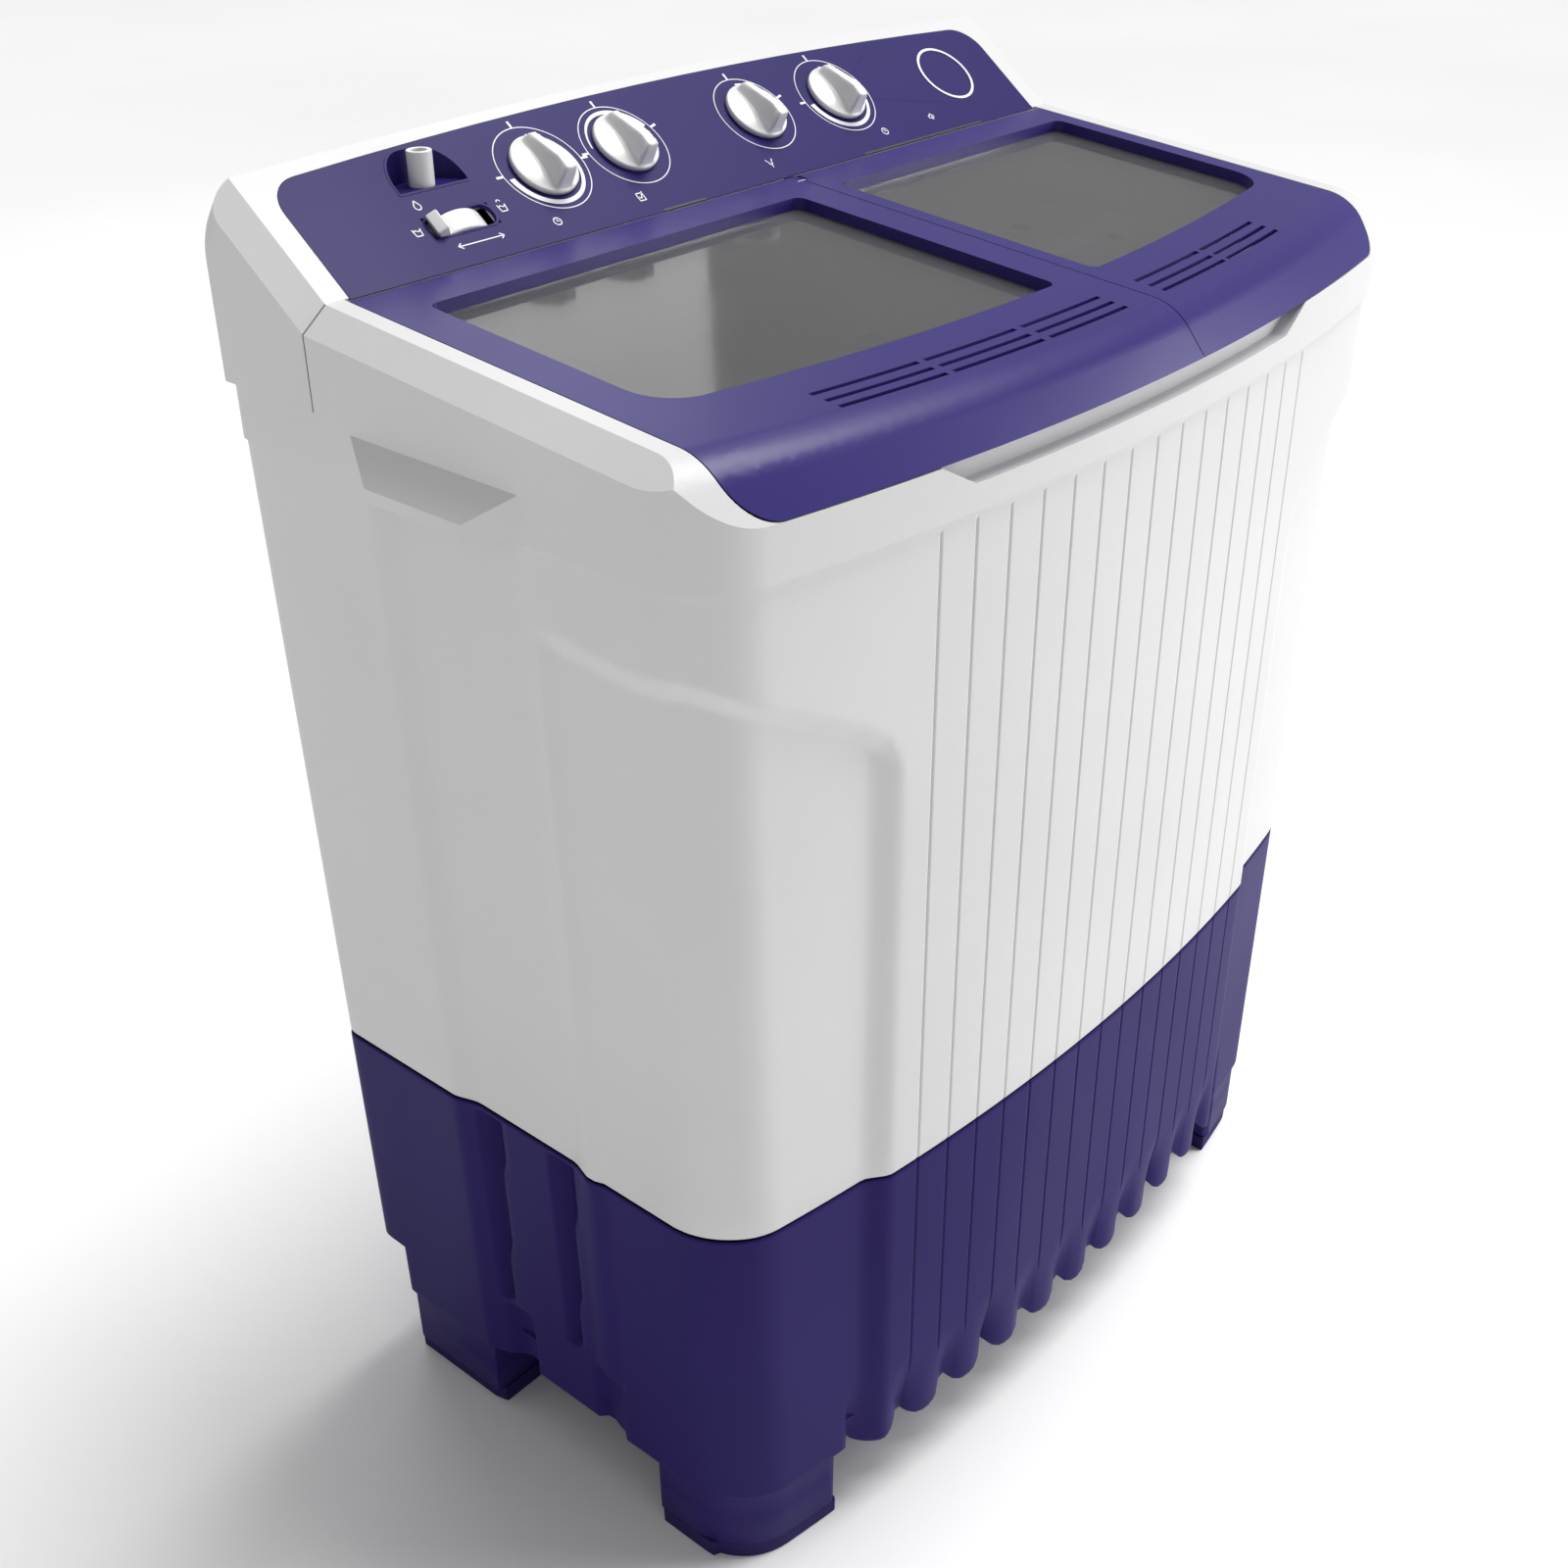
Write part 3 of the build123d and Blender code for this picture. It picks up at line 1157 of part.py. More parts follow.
with BuildPart() as capacitor:
    add(disc(22, 70, (-300, 120, floor_z + floor_thickness)))
capacitor.part.label = "capacitor"
export_step(capacitor.part, "parts/capacitor.step")

# ---------------------------------------------------------------- spin drive
spin_motor_low, spin_motor_high = 150.0, 250.0
drum_radius, drum_low_z, drum_high_z = 58.0, 262.0, 287.0
spin_shaft_radius = 9.0
basket_radius, basket_low_z, basket_high_z = 138.0, 425.0, 760.0
basket_wall = 2.0
with BuildPart() as spin_motor:
    add(motor_case(spin_x, spin_y, spin_motor_low, spin_motor_high))
spin_motor.part.label = "spin_motor"
export_step(spin_motor.part, "parts/spin_motor.step")

with BuildPart() as spin_motor_rotor:
    add(rotor_form(spin_x, spin_y, spin_motor_low, spin_motor_high, 275))
spin_motor_rotor.part.label = "spin_motor_rotor"
export_step(spin_motor_rotor.part, "parts/spin_motor_rotor.step")

with BuildPart() as spin_motor_plate:
    add(disc(92, 6, (spin_x, spin_y, 144)))
spin_motor_plate.part.label = "spin_motor_plate"
export_step(spin_motor_plate.part, "parts/spin_motor_plate.step")

with BuildPart() as suspension_mounts:
    with Locations((spin_x, spin_y, floor_z + floor_thickness)):
        with PolarLocations(75, 3, start_angle=90):
            Cylinder(16, 40, align=(Align.CENTER, Align.CENTER, Align.MIN))
suspension_mounts.part.label = "suspension_mounts"
export_step(suspension_mounts.part, "parts/suspension_mounts.step")

with BuildPart() as brake_drum:
    add(disc(drum_radius, drum_high_z - drum_low_z, (spin_x, spin_y, drum_low_z)))
    add(disc(motor_shaft_radius, 30, (spin_x, spin_y, drum_low_z - 5)), mode=Mode.SUBTRACT)
    add(disc(spin_shaft_radius, 30, (spin_x, spin_y, 275)), mode=Mode.SUBTRACT)
    add(ring(52, 22, 30, (spin_x, spin_y, drum_low_z + 8)), mode=Mode.SUBTRACT)
brake_drum.part.label = "brake_drum"
export_step(brake_drum.part, "parts/brake_drum.step")

with BuildPart() as spin_shaft:
    add(disc(spin_shaft_radius, 195, (spin_x, spin_y, 275)))
spin_shaft.part.label = "spin_shaft"
export_step(spin_shaft.part, "parts/spin_shaft.step")

with BuildPart() as spin_seal_boot:
    add(disc(boot_radius, 16, (spin_x, spin_y, 384)))
    add(disc(36, 3.5, (spin_x, spin_y, 389.5)))
    add(disc(spin_shaft_radius + running_gap, 40, (spin_x, spin_y, 370)), mode=Mode.SUBTRACT)
spin_seal_boot.part.label = "spin_seal_boot"
export_step(spin_seal_boot.part, "parts/spin_seal_boot.step")

basket_rows, basket_columns, basket_hole = 6, 12, 4.0
with BuildPart() as spin_basket:
    add(disc(basket_radius, basket_high_z - basket_low_z, (spin_x, spin_y, basket_low_z)))
    add(disc(basket_radius - basket_wall, 400, (spin_x, spin_y, basket_low_z + basket_wall)),
        mode=Mode.SUBTRACT)
    add(disc(22, 50, (spin_x, spin_y, basket_low_z)))
    add(disc(spin_shaft_radius, 55, (spin_x, spin_y, basket_low_z - 10)), mode=Mode.SUBTRACT)
    for row in range(basket_rows):
        with Locations((spin_x, spin_y, 470 + 46 * row)):
            with PolarLocations(0, basket_columns // 2, start_angle=15 * (row % 2)):
                with Locations(Location((0, 0, 0), (0, 90, 0))):
                    Cylinder(basket_hole, 2 * basket_radius + 20, mode=Mode.SUBTRACT)
spin_basket.part.label = "spin_basket"
export_step(spin_basket.part, "parts/spin_basket.step")

with BuildPart() as balance_ring:
    add(ring(142, basket_radius, 30, (spin_x, spin_y, 745)))
    add(ring(142, 118, 15, (spin_x, spin_y, basket_high_z)))
balance_ring.part.label = "balance_ring"
export_step(balance_ring.part, "parts/balance_ring.step")

cap_radius, cap_low_z = 126.0, 775.0
with BuildPart() as spin_cap:
    add(disc(cap_radius, 4, (spin_x, spin_y, cap_low_z)))
    with Locations((spin_x, spin_y, cap_low_z + 2)):
        with PolarLocations(80, 6):
            Cylinder(9, 10, mode=Mode.SUBTRACT)
    add(block((spin_x - 34, spin_y - 3, cap_low_z + 4), (spin_x + 34, spin_y + 3, cap_low_z + 20)))
spin_cap.part.label = "spin_cap"
export_step(spin_cap.part, "parts/spin_cap.step")

brake_x, brake_y = 282.0, -75.0
brake_gap = 3.0
pad_x = spin_x + drum_radius + brake_gap
with BuildPart() as brake_pivot_post:
    add(disc(6, 393 - 258, (brake_x, brake_y, 258)))
    add(disc(11, 5, (brake_x, brake_y, 258)))
    add(disc(18, 3, (brake_x, brake_y, 390)))
brake_pivot_post.part.label = "brake_pivot_post"
export_step(brake_pivot_post.part, "parts/brake_pivot_post.step")

with BuildPart() as brake_lever:
    add(disc(12, 20, (brake_x, brake_y, 264)))
    add(block((pad_x + 5, brake_y, 268), (pad_x + 13, 14, 280)))
    add(block((pad_x, -10, 265), (pad_x + 6, 14, 283)))
    add(disc(6 + running_gap, 40, (brake_x, brake_y, 255)), mode=Mode.SUBTRACT)
brake_lever.part.label = "brake_lever"
export_step(brake_lever.part, "parts/brake_lever.step")

# ---------------------------------------------------------------- drain line
sump_low_z, manifold_low_z = 340.0, 381.0
manifold_wall = 2.5
valve_seat = 12.0


def arm_sketch(radius, z):
    """Plan of the two arms that join both tubs to the drain line."""
    with BuildSketch(Plane.XY.offset(z)) as plan:
        for end in (wash_drain, spin_drain):
            add(arm_hull(radius, end))
    return plan.sketch


def arm_hull(radius, end):
    """Rounded bar from the drain line to one tub outlet."""
    with BuildSketch() as bar:
        with Locations((spigot_x, spigot_y), end):
            Circle(radius)
        make_hull()
    return bar.sketch


with BuildPart() as drain_manifold:
    extrude(arm_sketch(14, manifold_low_z), amount=12)
    add(disc(28, manifold_low_z - sump_low_z + 1, (spigot_x, spigot_y, sump_low_z)))
    extrude(arm_sketch(14 - manifold_wall, manifold_low_z + manifold_wall), amount=7,
            mode=Mode.SUBTRACT)
    add(disc(25.5, 38, (spigot_x, spigot_y, sump_low_z + 3)), mode=Mode.SUBTRACT)
    for x, y in (wash_drain, spin_drain):
        add(disc(drain_hole, 10, (x, y, 388)), mode=Mode.SUBTRACT)
    add(disc(10, 40, (spigot_x, spigot_y, 370)), mode=Mode.SUBTRACT)
    add(disc(valve_seat, 10, (spigot_x, spigot_y, sump_low_z - 3)), mode=Mode.SUBTRACT)
drain_manifold.part.label = "drain_manifold"
export_step(drain_manifold.part, "parts/drain_manifold.step")

with BuildPart() as drain_valve:
    add(disc(15, 8, (spigot_x, spigot_y, sump_low_z + 3)))
    add(disc(2, 928 - 345, (spigot_x, spigot_y, 345)))
drain_valve.part.label = "drain_valve"
export_step(drain_valve.part, "parts/drain_valve.step")

with BuildPart() as overflow_tower:
    add(ring(13, 11, 447, (spigot_x, spigot_y, 393)))
overflow_tower.part.label = "overflow_tower"
export_step(overflow_tower.part, "parts/overflow_tower.step")

with BuildPart() as drain_hose:
    add(ring(16, 13, sump_low_z - floor_z + 4, (spigot_x, spigot_y, floor_z - 4)))
drain_hose.part.label = "drain_hose"
export_step(drain_hose.part, "parts/drain_hose.step")

outlet_y = 234.0
outlet_length = 20.0          # the hose is pushed over this much of the spigot
with BuildPart() as drain_outlet:
    add(disc(12.9, 45, (spigot_x, spigot_y, spigot_z - 13)))
    add(rear_stud(12.2, outlet_y - outlet_length - spigot_y, (spigot_x, spigot_y, spigot_z)))
    add(rear_stud(11, outlet_y - spigot_y, (spigot_x, spigot_y, spigot_z)))
    add(disc(10, 45, (spigot_x, spigot_y, spigot_z - 9.5)), mode=Mode.SUBTRACT)
    add(rear_stud(8, outlet_y - spigot_y + 10, (spigot_x, spigot_y, spigot_z)),
        mode=Mode.SUBTRACT)
drain_outlet.part.label = "drain_outlet"
export_step(drain_outlet.part, "parts/drain_outlet.step")

# ---------------------------------------------------------------- mains cord gland
with BuildPart() as cord_gland:
    add(rear_stud(6.9, 12, (gland_x, rear_y - 8, gland_z)))
    add(rear_stud(11, 4, (gland_x, rear_y, gland_z)))
    add(rear_stud(4, 40, (gland_x, rear_y - 20, gland_z)), mode=Mode.SUBTRACT)
cord_gland.part.label = "cord_gland"
export_step(cord_gland.part, "parts/cord_gland.step")
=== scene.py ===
# %% [markdown]
# # A twin tub washer
# This machine has two tubs side by side under two windowed lids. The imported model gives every
# solid piece its place and size. Here the pieces get their moulded plastics, prints and soft edges.
# Everything is in metres: +X is right, -Y is the front and +Z is up.

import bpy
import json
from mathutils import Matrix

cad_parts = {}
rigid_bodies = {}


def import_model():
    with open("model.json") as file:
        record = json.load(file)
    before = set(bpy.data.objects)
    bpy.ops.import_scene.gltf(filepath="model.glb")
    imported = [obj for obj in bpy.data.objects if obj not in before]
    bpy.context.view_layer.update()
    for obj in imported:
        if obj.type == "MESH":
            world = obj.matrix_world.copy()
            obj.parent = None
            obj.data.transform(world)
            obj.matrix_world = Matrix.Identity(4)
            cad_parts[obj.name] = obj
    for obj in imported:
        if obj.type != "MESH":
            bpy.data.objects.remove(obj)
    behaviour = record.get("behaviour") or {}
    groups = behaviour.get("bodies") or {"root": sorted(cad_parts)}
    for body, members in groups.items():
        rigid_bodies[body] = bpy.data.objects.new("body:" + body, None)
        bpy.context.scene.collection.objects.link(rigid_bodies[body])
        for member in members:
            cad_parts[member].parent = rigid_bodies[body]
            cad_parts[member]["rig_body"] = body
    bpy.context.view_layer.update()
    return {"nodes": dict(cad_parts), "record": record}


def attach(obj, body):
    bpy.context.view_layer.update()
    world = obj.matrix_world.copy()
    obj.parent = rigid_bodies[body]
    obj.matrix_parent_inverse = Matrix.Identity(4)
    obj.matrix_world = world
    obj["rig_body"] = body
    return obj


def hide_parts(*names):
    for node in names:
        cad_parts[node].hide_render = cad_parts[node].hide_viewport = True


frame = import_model()
print("pieces in the frame:", len(frame["nodes"]))

# %% libraries
import json
from math import atan2, cos, hypot, pi, radians, sin, sqrt, tan

import bmesh
import bpy
import numpy as np
from mathutils import Vector

MM = 0.001
print("one millimetre is", MM)

# %% [markdown]
# ## Camera
# The camera looks down at the machine from its left front corner, a little above the console. It
# comes first, because every later choice is judged from this view. The lens shift places the
# machine in the view without turning the camera, so upright edges keep their slant.

# %% camera
camera_data = bpy.data.cameras.new("camera")
camera_data.lens, camera_data.sensor_width = 44.97, 36.0
camera_data.shift_x, camera_data.shift_y = -0.01625, 0.0259
camera = bpy.data.objects.new("camera", camera_data)
bpy.context.scene.collection.objects.link(camera)
camera_yaw, camera_pitch = radians(49.70), radians(31.50)
look = Vector((sin(camera_yaw) * cos(camera_pitch), cos(camera_yaw) * cos(camera_pitch),
               -sin(camera_pitch)))
camera.location = (-1.1441, -0.8896, 1.3406)
camera.rotation_mode = "QUATERNION"
camera.rotation_quaternion = look.to_track_quat("-Z", "Y")
bpy.context.scene.camera = camera
print("camera distance", round(camera.location.length, 2))

# %% [markdown]
# ## Finishes
# Moulded plastic is never one flat colour. Its skin has a very fine grain from the mould, broad
# faint clouds where the melt cooled at different speeds, and small changes of gloss from wiping.
# One maker of materials gives all three, and each finish chooses how strong they are.

# %% node helpers
def new_material(name):
    """A material with an empty node tree, its surface shader and a texture position."""
    material = bpy.data.materials.new(name + "_finish")
    material.use_nodes = True
    tree = material.node_tree
    shader = tree.nodes["Principled BSDF"]
    place = tree.nodes.new("ShaderNodeTexCoord")
    return material, tree, shader, place.outputs["Object"]


def noise(tree, place, scale, detail, stretch=(1, 1, 1)):
    """Noise over the object, stretched along its axes if asked."""
    mapping = tree.nodes.new("ShaderNodeMapping")
    mapping.inputs["Scale"].default_value = stretch
    texture = tree.nodes.new("ShaderNodeTexNoise")
    texture.inputs["Scale"].default_value = scale
    texture.inputs["Detail"].default_value = detail
    tree.links.new(place, mapping.inputs["Vector"])
    tree.links.new(mapping.outputs["Vector"], texture.inputs["Vector"])
    return texture.outputs["Fac"]


def between(tree, factor, low, high):
    """A number that swings between two values as a texture does."""
    swing = tree.nodes.new("ShaderNodeMapRange")
    swing.inputs["From Min"].default_value = 0.3
    swing.inputs["From Max"].default_value = 0.7
    swing.inputs["To Min"].default_value = low
    swing.inputs["To Max"].default_value = high
    tree.links.new(factor, swing.inputs["Value"])
    return swing.outputs["Result"]


def two_tone(tree, factor, first, second):
    """A colour that drifts between two near ones."""
    ramp = tree.nodes.new("ShaderNodeValToRGB")
    ramp.color_ramp.elements[0].position = 0.3
    ramp.color_ramp.elements[1].position = 0.7
    ramp.color_ramp.elements[0].color = (*first, 1)
    ramp.color_ramp.elements[1].color = (*second, 1)
    tree.links.new(factor, ramp.inputs["Fac"])
    return ramp.outputs["Color"]


def bump(tree, height, strength, distance, under=None):
    """Relief from a texture, over another relief if there is one."""
    relief = tree.nodes.new("ShaderNodeBump")
    relief.inputs["Strength"].default_value = strength
    relief.inputs["Distance"].default_value = distance
    tree.links.new(height, relief.inputs["Height"])
    if under is not None:
        tree.links.new(under, relief.inputs["Normal"])
    return relief.outputs["Normal"]


print("node helpers ready")

# %% moulded plastic
def moulded(name, colour, drift, gloss, grain=0.12, grain_scale=900, coat=0.0, shine=0.5):
    """Moulded plastic: cloudy colour, uneven gloss and fine grain."""
    material, tree, shader, place = new_material(name)
    clouds = noise(tree, place, 5, 3)
    other = tuple(c * (1 - drift) for c in colour)
    tree.links.new(two_tone(tree, clouds, other, colour), shader.inputs["Base Color"])
    smears = noise(tree, place, 7, 1, (1, 1, 0.4))
    tree.links.new(between(tree, smears, gloss[0], gloss[1]), shader.inputs["Roughness"])
    fine = noise(tree, place, grain_scale, 2)
    soft = noise(tree, place, 30, 1)
    relief = bump(tree, soft, 0.04, 0.0006)
    tree.links.new(bump(tree, fine, grain, 0.0001, relief), shader.inputs["Normal"])
    shader.inputs["Specular IOR Level"].default_value = shine
    shader.inputs["Coat Weight"].default_value = coat
    shader.inputs["Coat Roughness"].default_value = 0.12
    return material


white_shell = moulded("white_shell", (0.66, 0.66, 0.66), 0.04, (0.36, 0.42), shine=0.35)
violet_lid = moulded("violet_lid", (0.028, 0.018, 0.160), 0.10, (0.32, 0.37), 0.06, coat=0.04, shine=0.3)
violet_base = moulded("violet_base", (0.019, 0.010, 0.112), 0.10, (0.46, 0.54), 0.10, shine=0.10)
fascia_film = moulded("fascia_film", (0.018, 0.011, 0.112), 0.06, (0.40, 0.46), 0.06, 1400, shine=0.16)
white_dial = moulded("white_dial", (0.78, 0.78, 0.775), 0.04, (0.20, 0.30), 0.05, coat=0.2)
silver_print = moulded("silver_print", (0.78, 0.78, 0.80), 0.06, (0.35, 0.45), 0.10)
tub_plastic = moulded("tub_plastic", (0.62, 0.64, 0.67), 0.06, (0.26, 0.38), 0.08)
foot_rubber = moulded("foot_rubber", (0.020, 0.011, 0.095), 0.15, (0.6, 0.7), 0.25, 500, shine=0.15)
grey_plastic = moulded("grey_plastic", (0.11, 0.11, 0.12), 0.15, (0.45, 0.60), 0.20)
black_plastic = moulded("black_plastic", (0.018, 0.018, 0.020), 0.2, (0.40, 0.55), 0.20)
soft_rubber = moulded("soft_rubber", (0.016, 0.016, 0.017), 0.25, (0.65, 0.85), 0.35, 500)
plastics = (white_shell, violet_lid, violet_base, fascia_film, white_dial, silver_print,
            tub_plastic, foot_rubber, grey_plastic, black_plastic, soft_rubber)
print("plastics:", len(plastics))

# %% [markdown]
# The lid windows are smoked plastic, clear enough to show the tub but not sharp. Transmission with
# a rough surface blurs what lies behind, and faint ripples bend the highlights as on real mouldings.

# %% smoked window
def smoked(name, colour):
    """Smoked, slightly rippled plastic that the tub shows through."""
    material, tree, shader, place = new_material(name)
    ripples = noise(tree, place, 14, 2)
    tint = noise(tree, place, 6, 2)
    darker = tuple(c * 0.92 for c in colour)
    tree.links.new(two_tone(tree, tint, darker, colour), shader.inputs["Base Color"])
    tree.links.new(between(tree, ripples, 0.05, 0.08), shader.inputs["Roughness"])
    tree.links.new(bump(tree, ripples, 0.05, 0.0006), shader.inputs["Normal"])
    shader.inputs["Specular IOR Level"].default_value = 0.3
    shader.inputs["Transmission Weight"].default_value = 0.85
    shader.inputs["IOR"].default_value = 1.45
    shader.inputs["Alpha"].default_value = 0.85
    return material


grey_window = smoked("grey_window", (0.36, 0.36, 0.37))
print("window finish:", grey_window.name)

# %% [markdown]
# Metals hide inside the machine, but they show once the lids are open or from below. Drawn and
# turned steel carries fine lines along the way it was worked, so its noise is stretched.

# %% metals
def metal(name, colour, gloss, stretch, scale=60):
    """Metal with fine lines along the way it was worked."""
    material, tree, shader, place = new_material(name)
    lines = noise(tree, place, scale, 6, stretch)
    darker = tuple(c * 0.82 for c in colour)
    tree.links.new(two_tone(tree, lines, darker, colour), shader.inputs["Base Color"])
    tree.links.new(between(tree, lines, gloss[0], gloss[1]), shader.inputs["Roughness"])
    tree.links.new(bump(tree, lines, 0.10, 0.0002), shader.inputs["Normal"])
    shader.inputs["Metallic"].default_value = 1.0
    return material


stainless = metal("stainless", (0.62, 0.61, 0.59), (0.18, 0.32), (1, 1, 14))
steel = metal("steel", (0.50, 0.50, 0.50), (0.28, 0.45), (1, 1, 9))
cast_alloy = metal("cast_alloy", (0.55, 0.56, 0.58), (0.40, 0.55), (1, 1, 1), 150)
motor_paint = moulded("motor_paint", (0.05, 0.055, 0.065), 0.2, (0.35, 0.5), 0.2, 400)
print("metals: 3, painted metal: 1")

# %% give every carried-over piece its finish
other_finishes = (grey_window, stainless, steel, cast_alloy, motor_paint)
finishes = {m.name.removesuffix("_finish"): m for m in plastics + other_finishes}
for entry in frame["record"]["subparts"]:
    node = frame["nodes"][entry["node"]]
    node.data.materials.clear()
    node.data.materials.append(finishes[entry["material_slot"]])
frame["nodes"]["foot_pads"].data.materials[0] = foot_rubber

# %% [markdown]
# ## The outer walls
# Cabinet and base are one tall moulding in two colours. Their outline has a bowed front, round
# corners and sides that lean in towards the floor. A box with bevels could not hold the soft
# set-backs and channels, so the walls are a grid: columns walk round the outline, rows climb it,
# and each point is pushed inwards by the relief at its place.

# %% outline of the walls
bow_radius = 1.976
front_y, wall_rear_y, half_width, belt_z = -0.236, 0.239, 0.419, 0.868
side_lean = tan(radians(1.19))
corner_radius, rear_corner = 0.062, 0.016
groove_pitch, groove_count = 0.033, 15
groove_field_x, corner_start_x = 0.24, 0.345
corner_steps, rear_corner_steps = 18, 6
base_top, wall_thickness, roll_depth = 0.353, 0.003, 0.0012


def smooth(value, low, high):
    """0 below low, 1 above high, and a soft step in between."""
    t = np.clip((np.asarray(value, float) - low) / (high - low), 0, 1)
    return t * t * (3 - 2 * t)


def spread(*stops):
    """Positions from stop to stop, each with its own number of steps."""
    made = [stops[0]]
    for count, stop in zip(stops[1::2], stops[2::2]):
        made += list(np.linspace(made[-1], stop, count + 1)[1:])
    return np.array(made)


front_columns = []
for i in range(groove_count // 2 + 1):
    front_columns += [i * groove_pitch + d * MM for d in (-2.4, -1.3, -0.6, 0.6, 1.3, 2.4, 9, 16, 23)]
front_columns = sorted(x for x in set(front_columns) if 0 < x < 0.235)
front_columns = np.array([0.0] + front_columns + list(spread(groove_field_x, 26,
                                                        corner_start_x)))
side_columns = spread(0.0, 8, 0.18, 6, 0.30, 8, 0.42, 20, 0.52, 8, 0.64, 20, 0.74, 10, 0.96, 3, 1.0)
rear_columns = spread(0.0, 6, 0.26, 4, 0.32, 10, 0.98, 1, 1.0)
print("columns:", len(front_columns), len(side_columns), len(rear_columns))

# %% walk round the outline
def half_outline(z, reach=0.0):
    """Right half of the outline at one height: x, y and outward normal."""
    half = half_width - (belt_z - z) * side_lean + reach
    across = half - corner_radius
    centre_y = front_y + bow_radius - sqrt((bow_radius - corner_radius) ** 2 - across ** 2)
    turn = atan2(across, front_y + bow_radius - centre_y)
    meet_x = bow_radius * sin(turn)
    past_grooves = (groove_field_x + (front_columns - groove_field_x)
                    * (meet_x - groove_field_x) / (corner_start_x - groove_field_x))
    xs = np.where(front_columns > groove_field_x, past_grooves, front_columns)
    angle = np.arcsin(xs / bow_radius)
    parts = [np.stack([xs, front_y + bow_radius - bow_radius * np.cos(angle), np.sin(angle),
                       -np.cos(angle)], 1)]
    angle = np.linspace(turn, pi / 2, corner_steps + 1)[1:]
    parts.append(np.stack([across + corner_radius * np.sin(angle),
                           centre_y - corner_radius * np.cos(angle),
                           np.sin(angle), -np.cos(angle)], 1))
    ys = centre_y + side_columns[1:] * (wall_rear_y - rear_corner - centre_y)
    parts.append(np.stack([np.full_like(ys, half), ys, np.ones_like(ys), np.zeros_like(ys)], 1))
    angle = np.linspace(0, pi / 2, rear_corner_steps + 1)[1:]
    parts.append(np.stack([half - rear_corner + rear_corner * np.cos(angle),
                           wall_rear_y - rear_corner + rear_corner * np.sin(angle),
                           np.cos(angle), np.sin(angle)], 1))
    xs = (half - rear_corner) * (1 - rear_columns[1:])
    parts.append(np.stack([xs, np.full_like(xs, wall_rear_y), np.zeros_like(xs),
                           np.ones_like(xs)], 1))
    return np.concatenate(parts)


print("points round half of it:", len(half_outline(0.6)))

# %% [markdown]
# ### Relief
# Three things are pressed into the walls. The front corners are set back by 10 mm under a ledge
# that sweeps up from the middle to the sides. Each side has a shallow channel under its hand grip.
# Fifteen thin grooves run down the front. All of them are plain functions of the place on the wall.

# %% relief
ledge_x = np.array([0.0, 0.252, 0.261, 0.264, 0.274, 0.294, 0.332, 0.380, 0.412, 0.500])
ledge_z = np.array([0.690, 0.690, 0.703, 0.719, 0.734, 0.749, 0.771, 0.795, 0.811, 0.814])
channel_rear, channel_front, channel_depth = (0.104, 0.077), (-0.053, -0.026), 0.0065
front_set_back, side_set_back, ledge_band = 0.010, 0.0035, 0.020
groove_floor, groove_lip = 0.0006, 0.0013
cabinet_groove_depth, base_groove_depth = 0.0013, 0.0010


def ledge_height(x, y):
    """Height of the ledge over the set-back corner, at a place on the outline."""
    on_front = np.interp(np.abs(x), ledge_x, ledge_z)
    on_side = 0.810 + 0.006 * smooth(y, -0.13, -0.05)
    return np.where((np.abs(x) > 0.40) & (y > -0.16), on_side, on_front)


def set_back(x, y, z, banded):
    """How far the front corner lies behind the plain outline."""
    front = front_set_back * smooth(np.abs(x), 0.256, 0.280) * (1 - smooth(y, -0.190, -0.100))
    side = side_set_back * (1 - smooth(y, -0.060, -0.052)) * smooth(np.abs(x), 0.30, 0.38)
    depth = np.maximum(front, side)
    if not banded:
        return depth
    ledge = ledge_height(x, y)
    return depth * (1 - smooth(z, ledge - ledge_band, ledge))


def channel(x, y, normal_x):
    """How deep the side channel is."""
    rear = 1 - smooth(y, channel_rear[1], channel_rear[0])
    front = smooth(y, channel_front[0], channel_front[1])
    return channel_depth * rear * front * (np.abs(normal_x) > 0.99)


def grooves(x, y, depth):
    """Thin upright grooves in the front."""
    nearest = np.round(x / groove_pitch)
    away = np.abs(x - nearest * groove_pitch)
    in_front = (y < 0) & (np.abs(nearest) <= groove_count // 2)
    return depth * (1 - smooth(away, groove_floor, groove_lip)) * in_front


print("ledge at the corner:", round(float(ledge_height(np.array([0.41]), np.array([-0.2]))[0]), 3))

# %% the wall grid
def wall_points(heights, relief, reach=0.0):
    """Rows of points round the whole outline, pushed inwards by the relief."""
    rows = []
    for z in heights:
        half = half_outline(z, reach)
        left = half[-2:0:-1] * np.array([-1, 1, -1, 1])
        loop = np.concatenate([half, left])
        x, y, nx, ny = loop.T
        zs = np.full_like(x, z)
        pushed = relief(x, y, zs, nx)
        rows.append(np.stack([x - nx * pushed, y - ny * pushed, zs], 1))
    return np.array(rows)


def mesh_piece(name, points, faces, finish, smooth_faces=True):
    """A new mesh object from points and faces."""
    mesh = bpy.data.meshes.new(name)
    mesh.from_pydata([tuple(p) for p in points], [], faces)
    mesh.materials.append(finish)
    if smooth_faces:
        mesh.shade_smooth()
    piece = bpy.data.objects.new(name, mesh)
    bpy.context.scene.collection.objects.link(piece)
    return piece


def ring_faces(count, around):
    """Four-sided faces between closed rings of points, ring after ring."""
    return [(r * around + c, r * around + (c + 1) % around, (r + 1) * around + (c + 1) % around,
             (r + 1) * around + c) for r in range(count - 1) for c in range(around)]


